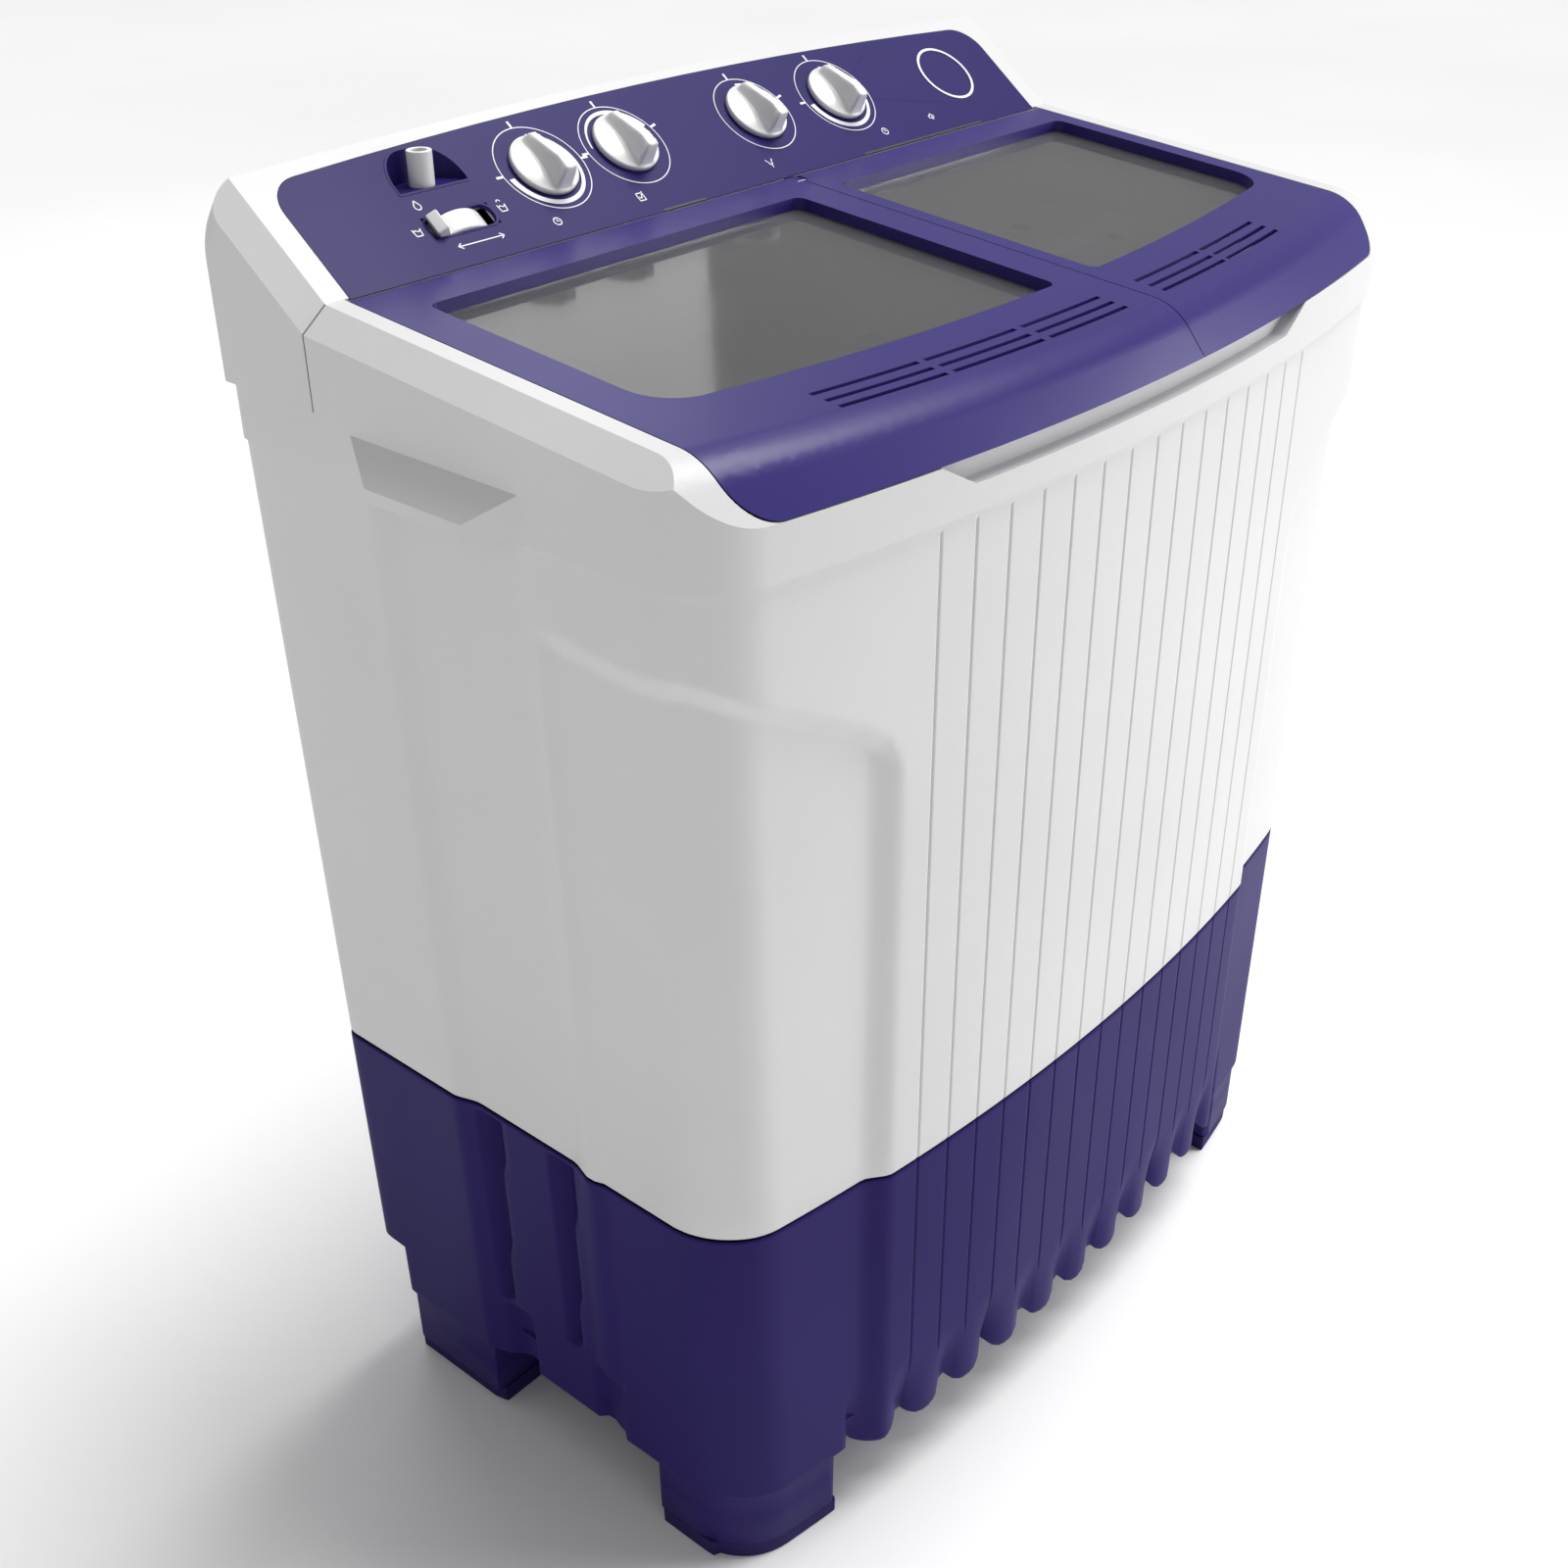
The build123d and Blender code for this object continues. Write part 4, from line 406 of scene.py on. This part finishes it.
def grid_piece(name, rows, finish, open_at=None):
    """A mesh from closed rows of points, with faces left out where open_at says so."""
    points = rows.reshape(-1, 3)
    faces = [corners for corners in ring_faces(*rows.shape[:2])
             if open_at is None or not open_at(points[list(corners)].mean(0))]
    return mesh_piece(name, points, faces, finish)


def thicken(piece):
    """Gives a skin its wall, inwards."""
    wall = piece.modifiers.new("wall", "SOLIDIFY")
    wall.thickness, wall.offset = wall_thickness, -1
    wall.use_even_offset = False


def stand_for(piece, node):
    """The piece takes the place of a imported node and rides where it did."""
    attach(piece, frame["nodes"][node]["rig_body"])
    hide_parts(node)


print("grid maker ready")

# %% cabinet
service_half_width, service_low, service_high = 0.300, 0.400, 0.800


def cabinet_relief(x, y, z, nx):
    """Everything pressed into the cabinet, with a rolled edge at its foot."""
    rolled = roll_depth * (1 - smooth(z, base_top + 0.0008, base_top + 0.0026))
    ribs = grooves(x, y, cabinet_groove_depth) * (z < belt_z - 0.006)
    return set_back(x, y, z, True) + channel(x, y, nx) + ribs + rolled


def in_service_opening(p):
    """Where the rear cover shows through."""
    on_rear_wall = p[1] > wall_rear_y - wall_thickness
    return on_rear_wall and abs(p[0]) < service_half_width and service_low < p[2] < service_high


cabinet_heights = spread(base_top + 0.0008, 2, base_top + 0.003, 2, 0.400, 56, 0.690,
                         60, 0.8, 12, 0.830, 4, belt_z - 0.007, 2, belt_z - 0.004, 2, belt_z)
cabinet_skin = grid_piece("cabinet_skin", wall_points(cabinet_heights, cabinet_relief),
                          white_shell, in_service_opening)
thicken(cabinet_skin)
stand_for(cabinet_skin, "cabinet")
print("cabinet faces:", len(cabinet_skin.data.polygons))

# %% [markdown]
# ## The base
# The base continues the same outline in dark plastic. Its front skirt ends in a row of rounded
# lobes with narrow notches between them, and the notches fade out upwards. Four legs stand
# inside it. The wall is a second grid from the same outline, a hair proud of the cabinet so that a
# fine dark seam shows between the two colours.

# %% base skirt
lobe_pitch, lobe_reach, notch_depth = 0.0525, 0.289, 0.016
skirt_z, wall_foot_z = 0.075, 0.128
slot_edges, slot_depth = ((0.079, 0.055), (-0.003, -0.026)), 0.014
hollow_middles, hollow_radius, hollow_depth = (0.060, -0.045), 0.016, 0.010
skirt_front_y, bend_y, foot_rear_y = -0.15, 0.150, 0.212
lobe_drop, notch_rise = 0.006, 0.020


def lobes(x, y, z):
    """Notches between the rounded lobes of the front skirt."""
    across = (x / lobe_pitch - np.round(x / lobe_pitch)) * 2
    round_face = 1 - np.sqrt(1 - np.clip(across, -1, 1) ** 2 * 0.94)
    beside = 1 - smooth(np.abs(x), lobe_reach - 0.004, lobe_reach + 0.004)
    fade = (1 - smooth(z, 0.078, 0.150)) * beside
    return notch_depth * round_face * fade * (y < skirt_front_y)


def side_slots(y, z, nx):
    """Upright pockets in the side channels, deepest under the seam."""
    deep = 0
    taper = smooth(z, 0.143, 0.148) * (1 - smooth(z, 0.3465, 0.3480))
    for rear, front in slot_edges:
        low = front + 0.012 * (1 - (z - 0.14) / 0.21)
        inside = smooth(y, low, low + 0.0018) * (1 - smooth(y, rear - 0.0018, rear))
        deep = deep + slot_depth * inside * (0.55 + 0.45 * smooth(y, low, rear))
    return deep * taper * (np.abs(nx) > 0.99)


def foot_hollows(y, z, nx):
    """Two round hollows in each side, from the pockets down to the skirt's edge."""
    deep = 0
    for middle in hollow_middles:
        deep = deep + np.sqrt(np.clip(1 - ((y - middle) / hollow_radius) ** 2, 0, 1))
    return hollow_depth * deep * (1 - smooth(z, 0.134, 0.142)) * (np.abs(nx) > 0.99)


def base_relief(x, y, z, nx):
    """Everything pressed into the base wall."""
    rolled = roll_depth * smooth(z, base_top - 0.0026, base_top - 0.0008)
    ribs = grooves(x, y, base_groove_depth) * smooth(z, 0.118, 0.140)
    return (set_back(x, y, z, False) + channel(x, y, nx) + lobes(x, y, z) + ribs + rolled
            + side_slots(y, z, nx) + foot_hollows(y, z, nx))


def step_forward(points):
    """Below its foot line the rear wall stands further forward."""
    low = points[..., 2] < wall_foot_z
    y = points[..., 1]
    moved = bend_y + (y - bend_y) * (foot_rear_y - bend_y) / (wall_rear_y - bend_y)
    points[..., 1] = np.where(low & (y > bend_y), moved, y)
    return points


def scallop(points):
    """The skirt's lower edge hangs lower at each lobe and rises at each notch."""
    x, y, z = points[..., 0], points[..., 1], points[..., 2]
    across = np.abs(x / lobe_pitch - np.round(x / lobe_pitch)) * 2
    on_lobes = (np.abs(x) < lobe_reach) & (y < skirt_front_y)
    drop = (lobe_drop - notch_rise * across ** 3) * (1 - smooth(z, skirt_z, skirt_z + 0.04))
    points[..., 2] = z - np.where(on_lobes, drop, 0)
    return points


base_heights = spread(skirt_z, 18, wall_foot_z - 0.0006, 1, wall_foot_z + 0.0002, 6, 0.152, 18,
                      0.345, 4, 0.350, 2, base_top - 0.0008)
base_rows = scallop(step_forward(wall_points(base_heights, base_relief, 0.0006)))
base_skin = grid_piece("base_skin", base_rows, violet_base)
thicken(base_skin)
stand_for(base_skin, "base")
print("base faces:", len(base_skin.data.polygons))

# %% legs and floor
leg_levels = ((0.0165, 0.0042), (0.0175, 0.0032), (0.050, 0.0030), (0.0865, 0.0028),
              (0.0880, 0.0012), (0.102, 0.0012))
front_leg_inner_x, front_leg_rear_y = 0.293, -0.092
rear_leg_inner_x, rear_leg_front_y, rear_leg_rear_y = 0.300, 0.095, 0.209
leg_chamfer, leg_edge_radius = 0.004, 0.0015
floor_inset, floor_rear_y, floor_levels = 0.013, 0.205, (0.100, 0.104)


def closed_prism(name, loops, finish):
    """A solid from stacked loops of points, closed at both ends."""
    rows = np.array(loops)
    count, around = rows.shape[:2]
    points = rows.reshape(-1, 3)
    faces = ring_faces(count, around)
    faces.append(tuple(reversed(range(around))))
    faces.append(tuple((count - 1) * around + c for c in range(around)))
    piece = mesh_piece(name, points, faces, finish)
    work = bmesh.new()
    work.from_mesh(piece.data)
    bmesh.ops.recalc_face_normals(work, faces=work.faces)
    work.to_mesh(piece.data)
    work.free()
    return piece


def leg_plan(side, front, inset, z):
    """Loop round one leg: it follows the wall outside and is square inside."""
    half = half_outline(0.1)
    x, y, nx, ny = half.T
    pushed = set_back(x, y, np.full_like(x, z), False) + inset
    x, y = x - nx * pushed, y - ny * pushed
    if front:
        keep = (half[:, 0] > 0.302) & (half[:, 1] < -0.100)
        outer = list(zip(x[keep], y[keep]))
        inner = [(x[keep].max(), front_leg_rear_y - inset),
                 (front_leg_inner_x + leg_chamfer + inset, front_leg_rear_y - inset),
                 (front_leg_inner_x + inset, front_leg_rear_y - leg_chamfer - inset),
                 (front_leg_inner_x + inset, y[keep].min() + 0.003)]
    else:
        edge = x[(y > 0.095) & (y < 0.2)].max()
        outer = [(edge, rear_leg_front_y + inset), (edge, 0.200), (edge - 0.002, 0.207 - inset),
                 (edge - 0.010, rear_leg_rear_y - inset)]
        inner = [(rear_leg_inner_x + leg_chamfer + inset, rear_leg_rear_y - inset),
                 (rear_leg_inner_x + inset, rear_leg_rear_y - leg_chamfer - inset),
                 (rear_leg_inner_x + inset, rear_leg_front_y + leg_chamfer + inset),
                 (rear_leg_inner_x + leg_chamfer + inset, rear_leg_front_y + inset)]
    return [(side * px, py, z) for px, py in outer + inner]


for side, side_name in ((-1, "left"), (1, "right")):
    for front, end_name in ((True, "front"), (False, "rear")):
        leg = closed_prism(f"leg_{end_name}_{side_name}",
                           [leg_plan(side, front, inset, z) for z, inset in leg_levels], violet_base)
        leg_edge = leg.modifiers.new("edge", "BEVEL")
        leg_edge.limit_method, leg_edge.angle_limit = "ANGLE", radians(50)
        leg_edge.width, leg_edge.segments = leg_edge_radius, 2
        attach(leg, "machine")
floor_loops = [[(x - nx * floor_inset, min(y - ny * floor_inset, floor_rear_y), z)
                for x, y, nx, ny in half_outline(0.102)] for z in floor_levels]
floor_loops = [loop + [(-x, y, z) for x, y, z in reversed(loop[1:-1])] for loop in floor_loops]
base_floor = closed_prism("base_floor", floor_loops, violet_base)
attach(base_floor, "machine")
print("legs and floor: 5 pieces")

# %% [markdown]
# ## Soft edges on the carried-over pieces
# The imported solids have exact, knife-sharp edges. Real mouldings never do: every edge has a small
# radius, and it is the bright line along that radius that makes plastic look like plastic. A bevel
# on edges sharper than 30 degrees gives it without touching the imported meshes. The twelve
# pieces that show most get one here, and the rest keep their plain edges.

# %% soften
sharp_angle, bevel_steps, weld_distance = radians(30), 2, 0.00002


def soften(node_name, radius):
    """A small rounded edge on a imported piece."""
    node = frame["nodes"][node_name]
    node.data.shade_smooth()
    merge = node.modifiers.new("merge", "WELD")
    merge.merge_threshold = weld_distance
    edge = node.modifiers.new("edge", "BEVEL")
    edge.limit_method = "ANGLE"
    edge.angle_limit = sharp_angle
    edge.width, edge.segments = radius, bevel_steps
    edge.use_clamp_overlap = True
    edge.harden_normals = True
    even = node.modifiers.new("even", "WEIGHTED_NORMAL")
    even.keep_sharp = True


edge_radii = {"top_cover": 0.0032, "wash_lid": 0.0016, "spin_lid": 0.0016,
              "console_housing": 0.0028, "console_fascia": 0.0005, "water_inlet": 0.0007,
              "inlet_lever": 0.0015, "twin_tub": 0.0015, "rear_cover": 0.0008,
              "badge_ring": 0.0002, "lint_filter": 0.001, "foot_pads": 0.0015}
for name, radius in edge_radii.items():
    soften(name, radius)
print("softened:", ", ".join(edge_radii))

# %% [markdown]
# ## The dials
# Each dial is a shallow dome with a wedge for the fingers: narrow and low where it points, tall and
# blunt at the thumb end. A disc and a wedge stuck together would show a hard joint, so the dial is
# one height field over rings and spokes, with the wedge's sides blended into the dome.

# %% panel directions
panel_tilt = radians(37.3)
joint_y, joint_z = 0.144, 0.9717
up_slope = Vector((0, cos(panel_tilt), sin(panel_tilt)))
panel_normal = Vector((0, -sin(panel_tilt), cos(panel_tilt)))


def on_panel(u, v, h):
    """A point given along the panel, up its slope, and off it."""
    return Vector((u, joint_y, joint_z)) + up_slope * v + panel_normal * h


print("panel slope in degrees:", round(panel_tilt * 180 / pi, 1))

# %% dial shape
dial_radius, dial_spokes, dial_rings = 0.0262, 96, 34
dome_top, dome_fall = 0.0088, 0.0042
wedge_reach, wedge_half, wedge_taper = 0.024, 0.0062, 0.0022
wedge_low, wedge_rise, wedge_slope = 0.0125, 0.0108, 0.034
dial_centres = {"wash_timer_knob": (-0.1654, 0.0599), "wash_selector_knob": (-0.0807, 0.0621),
                "drain_knob": (0.0651, 0.0614), "spin_timer_knob": (0.1640, 0.0604)}


def soft_step(value, low, high):
    """The soft step for one number."""
    return float(smooth(value, low, high))


def dial_height(across, along):
    """Height of a dial's skin over the panel, at a place on its face."""
    away = hypot(across, along)
    dome = dome_top - dome_fall * (away / dial_radius) ** 2
    ends = soft_step(along, -0.0250, -0.0215) * (1 - soft_step(along, 0.0205, 0.0245))
    half = wedge_half - wedge_taper * (along + wedge_reach) / (2 * wedge_reach)
    sides = 1 - soft_step(abs(across), half - 0.0012, half + 0.0022)
    top = wedge_low + wedge_rise * min(1.0, max(0.0, (wedge_reach - along) / wedge_slope))
    return max(dome, dome + (top - dome) * sides * ends)


def dial(name, u, v):
    """One dial with its rim, on its place on the panel."""
    spokes, rings = dial_spokes, dial_rings
    points = [on_panel(u, v, dial_height(0, 0))]
    for r in range(1, rings + 1):
        radius = dial_radius * r / rings
        for s in range(spokes):
            a = 2 * pi * s / spokes
            across, along = radius * sin(a), radius * cos(a)
            points.append(on_panel(u + across, v + along, dial_height(across, along)))
    for radius, h in ((dial_radius + 0.0003, 0.0038), (dial_radius + 0.0003, 0.0007),
                      (dial_radius - 0.0010, 0.0006), (0.0030, 0.0006)):
        for s in range(spokes):
            a = 2 * pi * s / spokes
            points.append(on_panel(u + radius * sin(a), v + radius * cos(a), h))
    faces = [(0, 1 + (s + 1) % spokes, 1 + s) for s in range(spokes)]
    for r in range(rings + 3):
        first, second = 1 + r * spokes, 1 + (r + 1) * spokes
        for s in range(spokes):
            t = (s + 1) % spokes
            faces.append((first + s, first + t, second + t, second + s))
    faces.append(tuple(1 + (rings + 3) * spokes + s for s in range(spokes)))
    return mesh_piece(name, points, faces, white_dial)


for node_name, (u, v) in dial_centres.items():
    piece = dial(node_name + "_cap", u, v)
    stand_for(piece, node_name)
print("dials:", len(dial_centres))

# %% [markdown]
# ## Prints on the panel
# Round each dial is a thin printed ring, with short ticks at its settings and a thicker arc that
# swells along the part the dial sweeps. Ink has no height to speak of, so each print is a strip
# laid 0.15 mm over the film.

# %% ink strips
ink_height, ink_thickness = 0.00015, 0.0001
panel_body = frame["nodes"]["console_fascia"]["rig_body"]


def lay_ink(name, points, faces):
    """A print from flat faces, as a thin layer of ink on the console's panel."""
    mark = mesh_piece(name, points, faces, silver_print, False)
    ink = mark.modifiers.new("ink", "SOLIDIFY")
    ink.thickness, ink.offset = ink_thickness, 1
    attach(mark, panel_body)


def strip(name, centre, angles, inner, outer):
    """A printed arc round a centre. Angles run clockwise from the top of the slope, in degrees.

    inner and outer give the radius at the start and at the end of the arc.
    """
    count = max(2, int(abs(angles[1] - angles[0]) / 3))
    points, faces = [], []
    for i in range(count + 1):
        t = i / count
        a = radians(angles[0] + (angles[1] - angles[0]) * t)
        for ends in (inner, outer):
            radius = ends[0] + (ends[1] - ends[0]) * t
            points.append(on_panel(centre[0] + radius * sin(a), centre[1] + radius * cos(a),
                                   ink_height))
        if i:
            faces.append((2 * i - 2, 2 * i, 2 * i + 1, 2 * i - 1))
    lay_ink(name, points, faces)


ring_radii = {"wash_timer": 0.0378, "wash_selector": 0.0371, "drain": 0.0362, "spin_timer": 0.0380}
ticks = {"wash_timer": (0, 90, 270), "wash_selector": (-90, 0, 75), "drain": (0, 75),
         "spin_timer": (0, 270)}
sweeps = {"wash_timer": (12, 264), "wash_selector": (-84, 69), "drain": (6, 69),
          "spin_timer": (12, 264)}
ring_half_width, tick_half_angle, tick_inner, tick_outer = 0.0004, 1.4, 0.0002, 0.0065
sweep_inner, sweep_outer = (0.0300, 0.0300), (0.0312, 0.0350)
for centre, (short, radius) in zip(dial_centres.values(), ring_radii.items()):
    strip(short + "_ring", centre, (0, 360), (radius - ring_half_width,) * 2,
          (radius + ring_half_width,) * 2)
    for i, angle in enumerate(ticks[short]):
        strip(f"{short}_tick_{i}", centre, (angle - tick_half_angle, angle + tick_half_angle),
              (radius + tick_inner,) * 2, (radius + tick_outer,) * 2)
    strip(short + "_sweep", centre, sweeps[short], sweep_inner, sweep_outer)
print("rings:", len(ring_radii))

# %% [markdown]
# ### Little signs
# Small signs stand by the controls: a drop by the water inlet, clocks by the timers, a ticked box, a
# funnel and a sounder. They mean the same everywhere and carry no lettering. Each is a few straight
# strokes, so one stroke maker draws them all, and every sign is a single mesh.

# %% signs
stroke_width = 0.0009


def sign(name, strokes):
    """Strokes of ink along lines given on the panel in millimetres."""
    points, faces = [], []
    for stroke in strokes:
        for first, second in zip(stroke[:-1], stroke[1:]):
            du, dv = second[0] - first[0], second[1] - first[1]
            length = hypot(du, dv)
            au, av = -dv / length * stroke_width / 2, du / length * stroke_width / 2
            at = len(points)
            for (u, v), turn in ((first, 1), (first, -1), (second, -1), (second, 1)):
                points.append(on_panel(u * MM + turn * au, v * MM + turn * av, ink_height))
            faces.append((at, at + 1, at + 2, at + 3))
    lay_ink(name, points, faces)


def round_stroke(u, v, radius, start=0, end=360):
    """Points along an arc on the panel, in millimetres."""
    steps = max(4, int((end - start) / 20))
    turns = [radians(start + (end - start) * i / steps) for i in range(steps + 1)]
    return [(u + radius * sin(a), v + radius * cos(a)) for a in turns]


def clock(u, v):
    """A clock face with its two hands."""
    return [round_stroke(u, v, 3.2), [(u, v + 2.1), (u, v), (u + 1.6, v)]]


def tub_sign(u, v):
    """An open tub with a wave of water."""
    return [[(u - 3.4, v + 3), (u - 2.6, v - 3), (u + 2.6, v - 3), (u + 3.4, v + 3)],
            [(u - 2.8, v + 1.2), (u - 0.8, v + 2.0), (u + 0.8, v + 0.6), (u + 2.8, v + 1.4)]]


sign("sign_drop", [[(-286.1, 58.6)] + round_stroke(-286.1, 53.2, 2.7, 50, 310) + [(-286.1, 58.6)]])
sign("sign_arrow", [[(-278.5, 14.9), (-238.0, 14.9)],
                    [(-275.5, 17.2), (-278.9, 14.9), (-275.5, 12.6)],
                    [(-241.0, 17.2), (-237.6, 14.9), (-241.0, 12.6)]])
sign("sign_wash_side", tub_sign(-300.5, 33.6))
sign("sign_spin_side", tub_sign(-222.6, 36.0) + [round_stroke(-222.6, 41.5, 1.6, -90, 90)])
sign("sign_wash_clock", clock(-187.8, 14.1))
sign("sign_spin_clock", clock(186.1, 15.3))
sign("sign_ticked_box", [[(-105.6, 12.2), (-105.6, 19.0), (-99.6, 19.0), (-99.6, 12.2),
                          (-105.6, 12.2)], [(-104.2, 15.8), (-102.8, 14.0), (-99.0, 20.2)]])
sign("sign_funnel", [[(37.4, 18.2), (39.6, 15.4), (39.6, 13.4), (42.8, 13.4), (42.8, 15.4),
                      (45.0, 18.2)], [(41.2, 13.4), (41.2, 10.2)]])
sign("sign_sounder", [[(248.4, 16.2), (248.4, 18.6), (250.0, 18.6), (252.2, 20.6), (252.2, 14.2),
                       (250.0, 16.2), (248.4, 16.2)], round_stroke(251.8, 17.4, 2.6, 50, 130)])

# %% [markdown]
# ### Pocket, slot and joints
# The inlet pocket and the lever slot are lined in the panel's own colour, with rounded ends. A
# violet strip closes the joint between panel and lids. Two black bars on it are painted shade for the
# two gaps where the water channel opens.
# Fine dark lines mark where the console is fastened to the top cover at both sides.

# %% liners
lining_thickness, round_steps = 0.0002, 8
pocket_floor_z, pocket_round = 1.0103, 0.024


def lining(name, rings, closed_floor):
    """A lining from rings of points, outermost first, with a floor if it is closed."""
    around = len(rings[0])
    points = [p for one in rings for p in one]
    faces = ring_faces(len(rings), around)
    if closed_floor:
        faces.append(tuple((len(rings) - 1) * around + c for c in range(around)))
    piece = mesh_piece(name, points, faces, fascia_film, False)
    body = piece.modifiers.new("body", "SOLIDIFY")
    body.thickness, body.offset = lining_thickness, 0
    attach(piece, panel_body)


def rounded(low, high, corners):
    """A rounded rectangle, its four corner radii given anticlockwise from the low corner."""
    (lu, lv), (hu, hv) = low, high
    loop = []
    for (u, v, turn), r in zip(((lu, lv, 180), (hu, lv, 270), (hu, hv, 0), (lu, hv, 90)), corners):
        cu, cv = u + (r if u == lu else -r), v + (r if v == lv else -r)
        for i in range(round_steps + 1):
            a = radians(turn + 90 * i / round_steps)
            loop.append((cu + r * cos(a), cv + r * sin(a)))
    return loop


def panel_z(y, h):
    """Height of the panel over a place in plan, and a little off it."""
    return joint_z + (y - joint_y) * tan(panel_tilt) + h


def pocket_ring(inset, height):
    """The inlet pocket's outline in plan, at a height of its own for each point."""
    low, high = (-0.292 + inset, 0.1957 + inset), (-0.231 - inset, 0.224 - inset)
    round_rear = pocket_round - inset
    return [(x, y, height(y)) for x, y in rounded(low, high, (0.001, 0.001, round_rear, round_rear))]


lining("pocket_lining", [pocket_ring(-0.0011, lambda y: panel_z(y, 0.0003)),
                         pocket_ring(0.0003, lambda y: panel_z(y, 0.0003)),
                         pocket_ring(0.0004, lambda y: pocket_floor_z)], True)
slot_rings = [[on_panel(u, v, h) for u, v in rounded(low, high, (r,) * 4)]
              for low, high, r, h in (((-0.2922, 0.0238), (-0.2308, 0.0448), 0.0088, 0.0001),
                                      ((-0.2918, 0.0242), (-0.2312, 0.0444), 0.0086, 0.0004),
                                      ((-0.2906, 0.0254), (-0.2324, 0.0432), 0.0080, 0.0003),
                                      ((-0.2904, 0.0256), (-0.2326, 0.0430), 0.0078, -0.0030))]
lining("slot_lining", slot_rings, False)
print("linings: 2")

# %% joints
def flat_prism(name, loops, finish):
    """A small flat-sided solid that belongs to the console."""
    piece = closed_prism(name, loops, finish)
    piece.data.shade_flat()
    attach(piece, panel_body)


def panel_bar(name, low, high, base_h, top_h, finish):
    """A thin bar on the panel, given by two corners and two heights."""
    (lu, lv), (hu, hv) = low, high
    loops = [[on_panel(u, v, h) for u, v in ((lu, lv), (hu, lv), (hu, hv), (lu, hv))]
             for h in (base_h, top_h)]
    flat_prism(name, loops, finish)


panel_bar("joint_strip", (-0.3825, -0.0016), (0.3825, 0.0016), -0.0004, 0.0004, fascia_film)
# The two gaps are painted shade: black bars laid a hair over the strip where the water channel opens,
# with no opening cut.
for name, low_u, high_u in (("gap_middle", -0.092, -0.047), ("gap_right", 0.144, 0.305)):
    panel_bar(name, (low_u, -0.0014), (high_u, 0.0004), 0.0003, 0.0006, black_plastic)
for side, side_name in ((-1, "left"), (1, "right")):
    path = [(0.4214, 0.906), (0.4214, 0.9568), (0.4015, 0.9716)]
    outer = [(0.4217, 0.906), (0.4217, 0.9569), (0.4017, 0.9719)]
    loops = [[(side * x, y, z) for x, z in path + outer[::-1]]
             for y in (joint_y - 0.0004, joint_y + 0.0004)]
    flat_prism("seam_" + side_name, loops, grey_plastic)

# The ear of the cover between the two lids gets a cap in the lids' colour.
cover = frame["nodes"]["top_cover"]
split_x, ear_half, ear_front_y, ear_rear_y = 0.049, 0.005, 0.1315, 0.1436
ear = [cover.matrix_world @ v.co for v in cover.data.vertices]
ear = [p for p in ear if abs(p.x - split_x) < 0.0058 and 0.128 < p.y < ear_rear_y and p.z > 0.955]
if ear:
    ear_z = max(p.z for p in ear)
    ear_plan = ((-ear_half, ear_front_y), (ear_half, ear_front_y), (ear_half, ear_rear_y),
                (-ear_half, ear_rear_y))
    loops = [[(split_x + dx, y, z) for dx, y in ear_plan]
             for z in (ear_z - 0.0002, ear_z + 0.0004)]
    flat_prism("ear_cap", loops, violet_lid)
    print("ear height", round(ear_z, 4))
print("strip, two gaps and two seams")

# %% [markdown]
# ## Stage
# A wide pale floor under an even white surround, with four large lamps and a soft sun, shows the
# shape of white plastic without hard shadows.

# %% floor
floor_mesh = bpy.data.meshes.new("floor")
floor_mesh.from_pydata([(-30, -30, 0), (30, -30, 0), (30, 30, 0), (-30, 30, 0)], [], [(0, 1, 2, 3)])
floor = bpy.data.objects.new("floor", floor_mesh)
bpy.context.scene.collection.objects.link(floor)
floor_paint, floor_tree, floor_shader, floor_place = new_material("floor_paint")
floor_clouds = noise(floor_tree, floor_place, 0.8, 3)
floor_tree.links.new(two_tone(floor_tree, floor_clouds, (0.86, 0.86, 0.86), (0.90, 0.90, 0.90)),
                     floor_shader.inputs["Base Color"])
floor_shader.inputs["Roughness"].default_value = 0.75
floor_mesh.materials.append(floor_paint)
print("floor ready")

# %% lamps
def lamp(name, place, aim, size, power):
    """A large soft lamp that looks at a point."""
    data = bpy.data.lights.new(name, "AREA")
    data.size, data.energy = size, power
    obj = bpy.data.objects.new(name, data)
    bpy.context.scene.collection.objects.link(obj)
    obj.location = place
    obj.rotation_mode = "QUATERNION"
    obj.rotation_quaternion = (Vector(aim) - Vector(place)).to_track_quat("-Z", "Y")


machine_middle = (0, 0, 0.6)
lamp("key_lamp", (1.9, -1.7, 1.4), (0.4, -0.2, 0.6), 1.3, 34)
lamp("top_lamp", (0.4, 0.6, 3.2), (0, 0, 0.9), 2.4, 14)
lamp("side_lamp", (-3.4, -0.8, 1.4), machine_middle, 2.8, 5)
lamp("back_lamp", (1.5, 2.8, 2.4), machine_middle, 2.2, 16)
sun_data = bpy.data.lights.new("soft_sun", "SUN")
sun_data.energy, sun_data.angle = 2.5, radians(32)
soft_sun = bpy.data.objects.new("soft_sun", sun_data)
bpy.context.scene.collection.objects.link(soft_sun)
soft_sun.rotation_mode = "QUATERNION"
soft_sun.rotation_quaternion = Vector((-0.40, 0.12, -0.91)).to_track_quat("-Z", "Y")
world = bpy.data.worlds.new("studio")
bpy.context.scene.world = world
world.use_nodes = True
world.node_tree.nodes["Background"].inputs["Color"].default_value = (1, 1, 1, 1)
world.node_tree.nodes["Background"].inputs["Strength"].default_value = 0.34
bpy.context.scene.view_settings.view_transform = "Standard"
print("lamps: 4 and a soft sun")
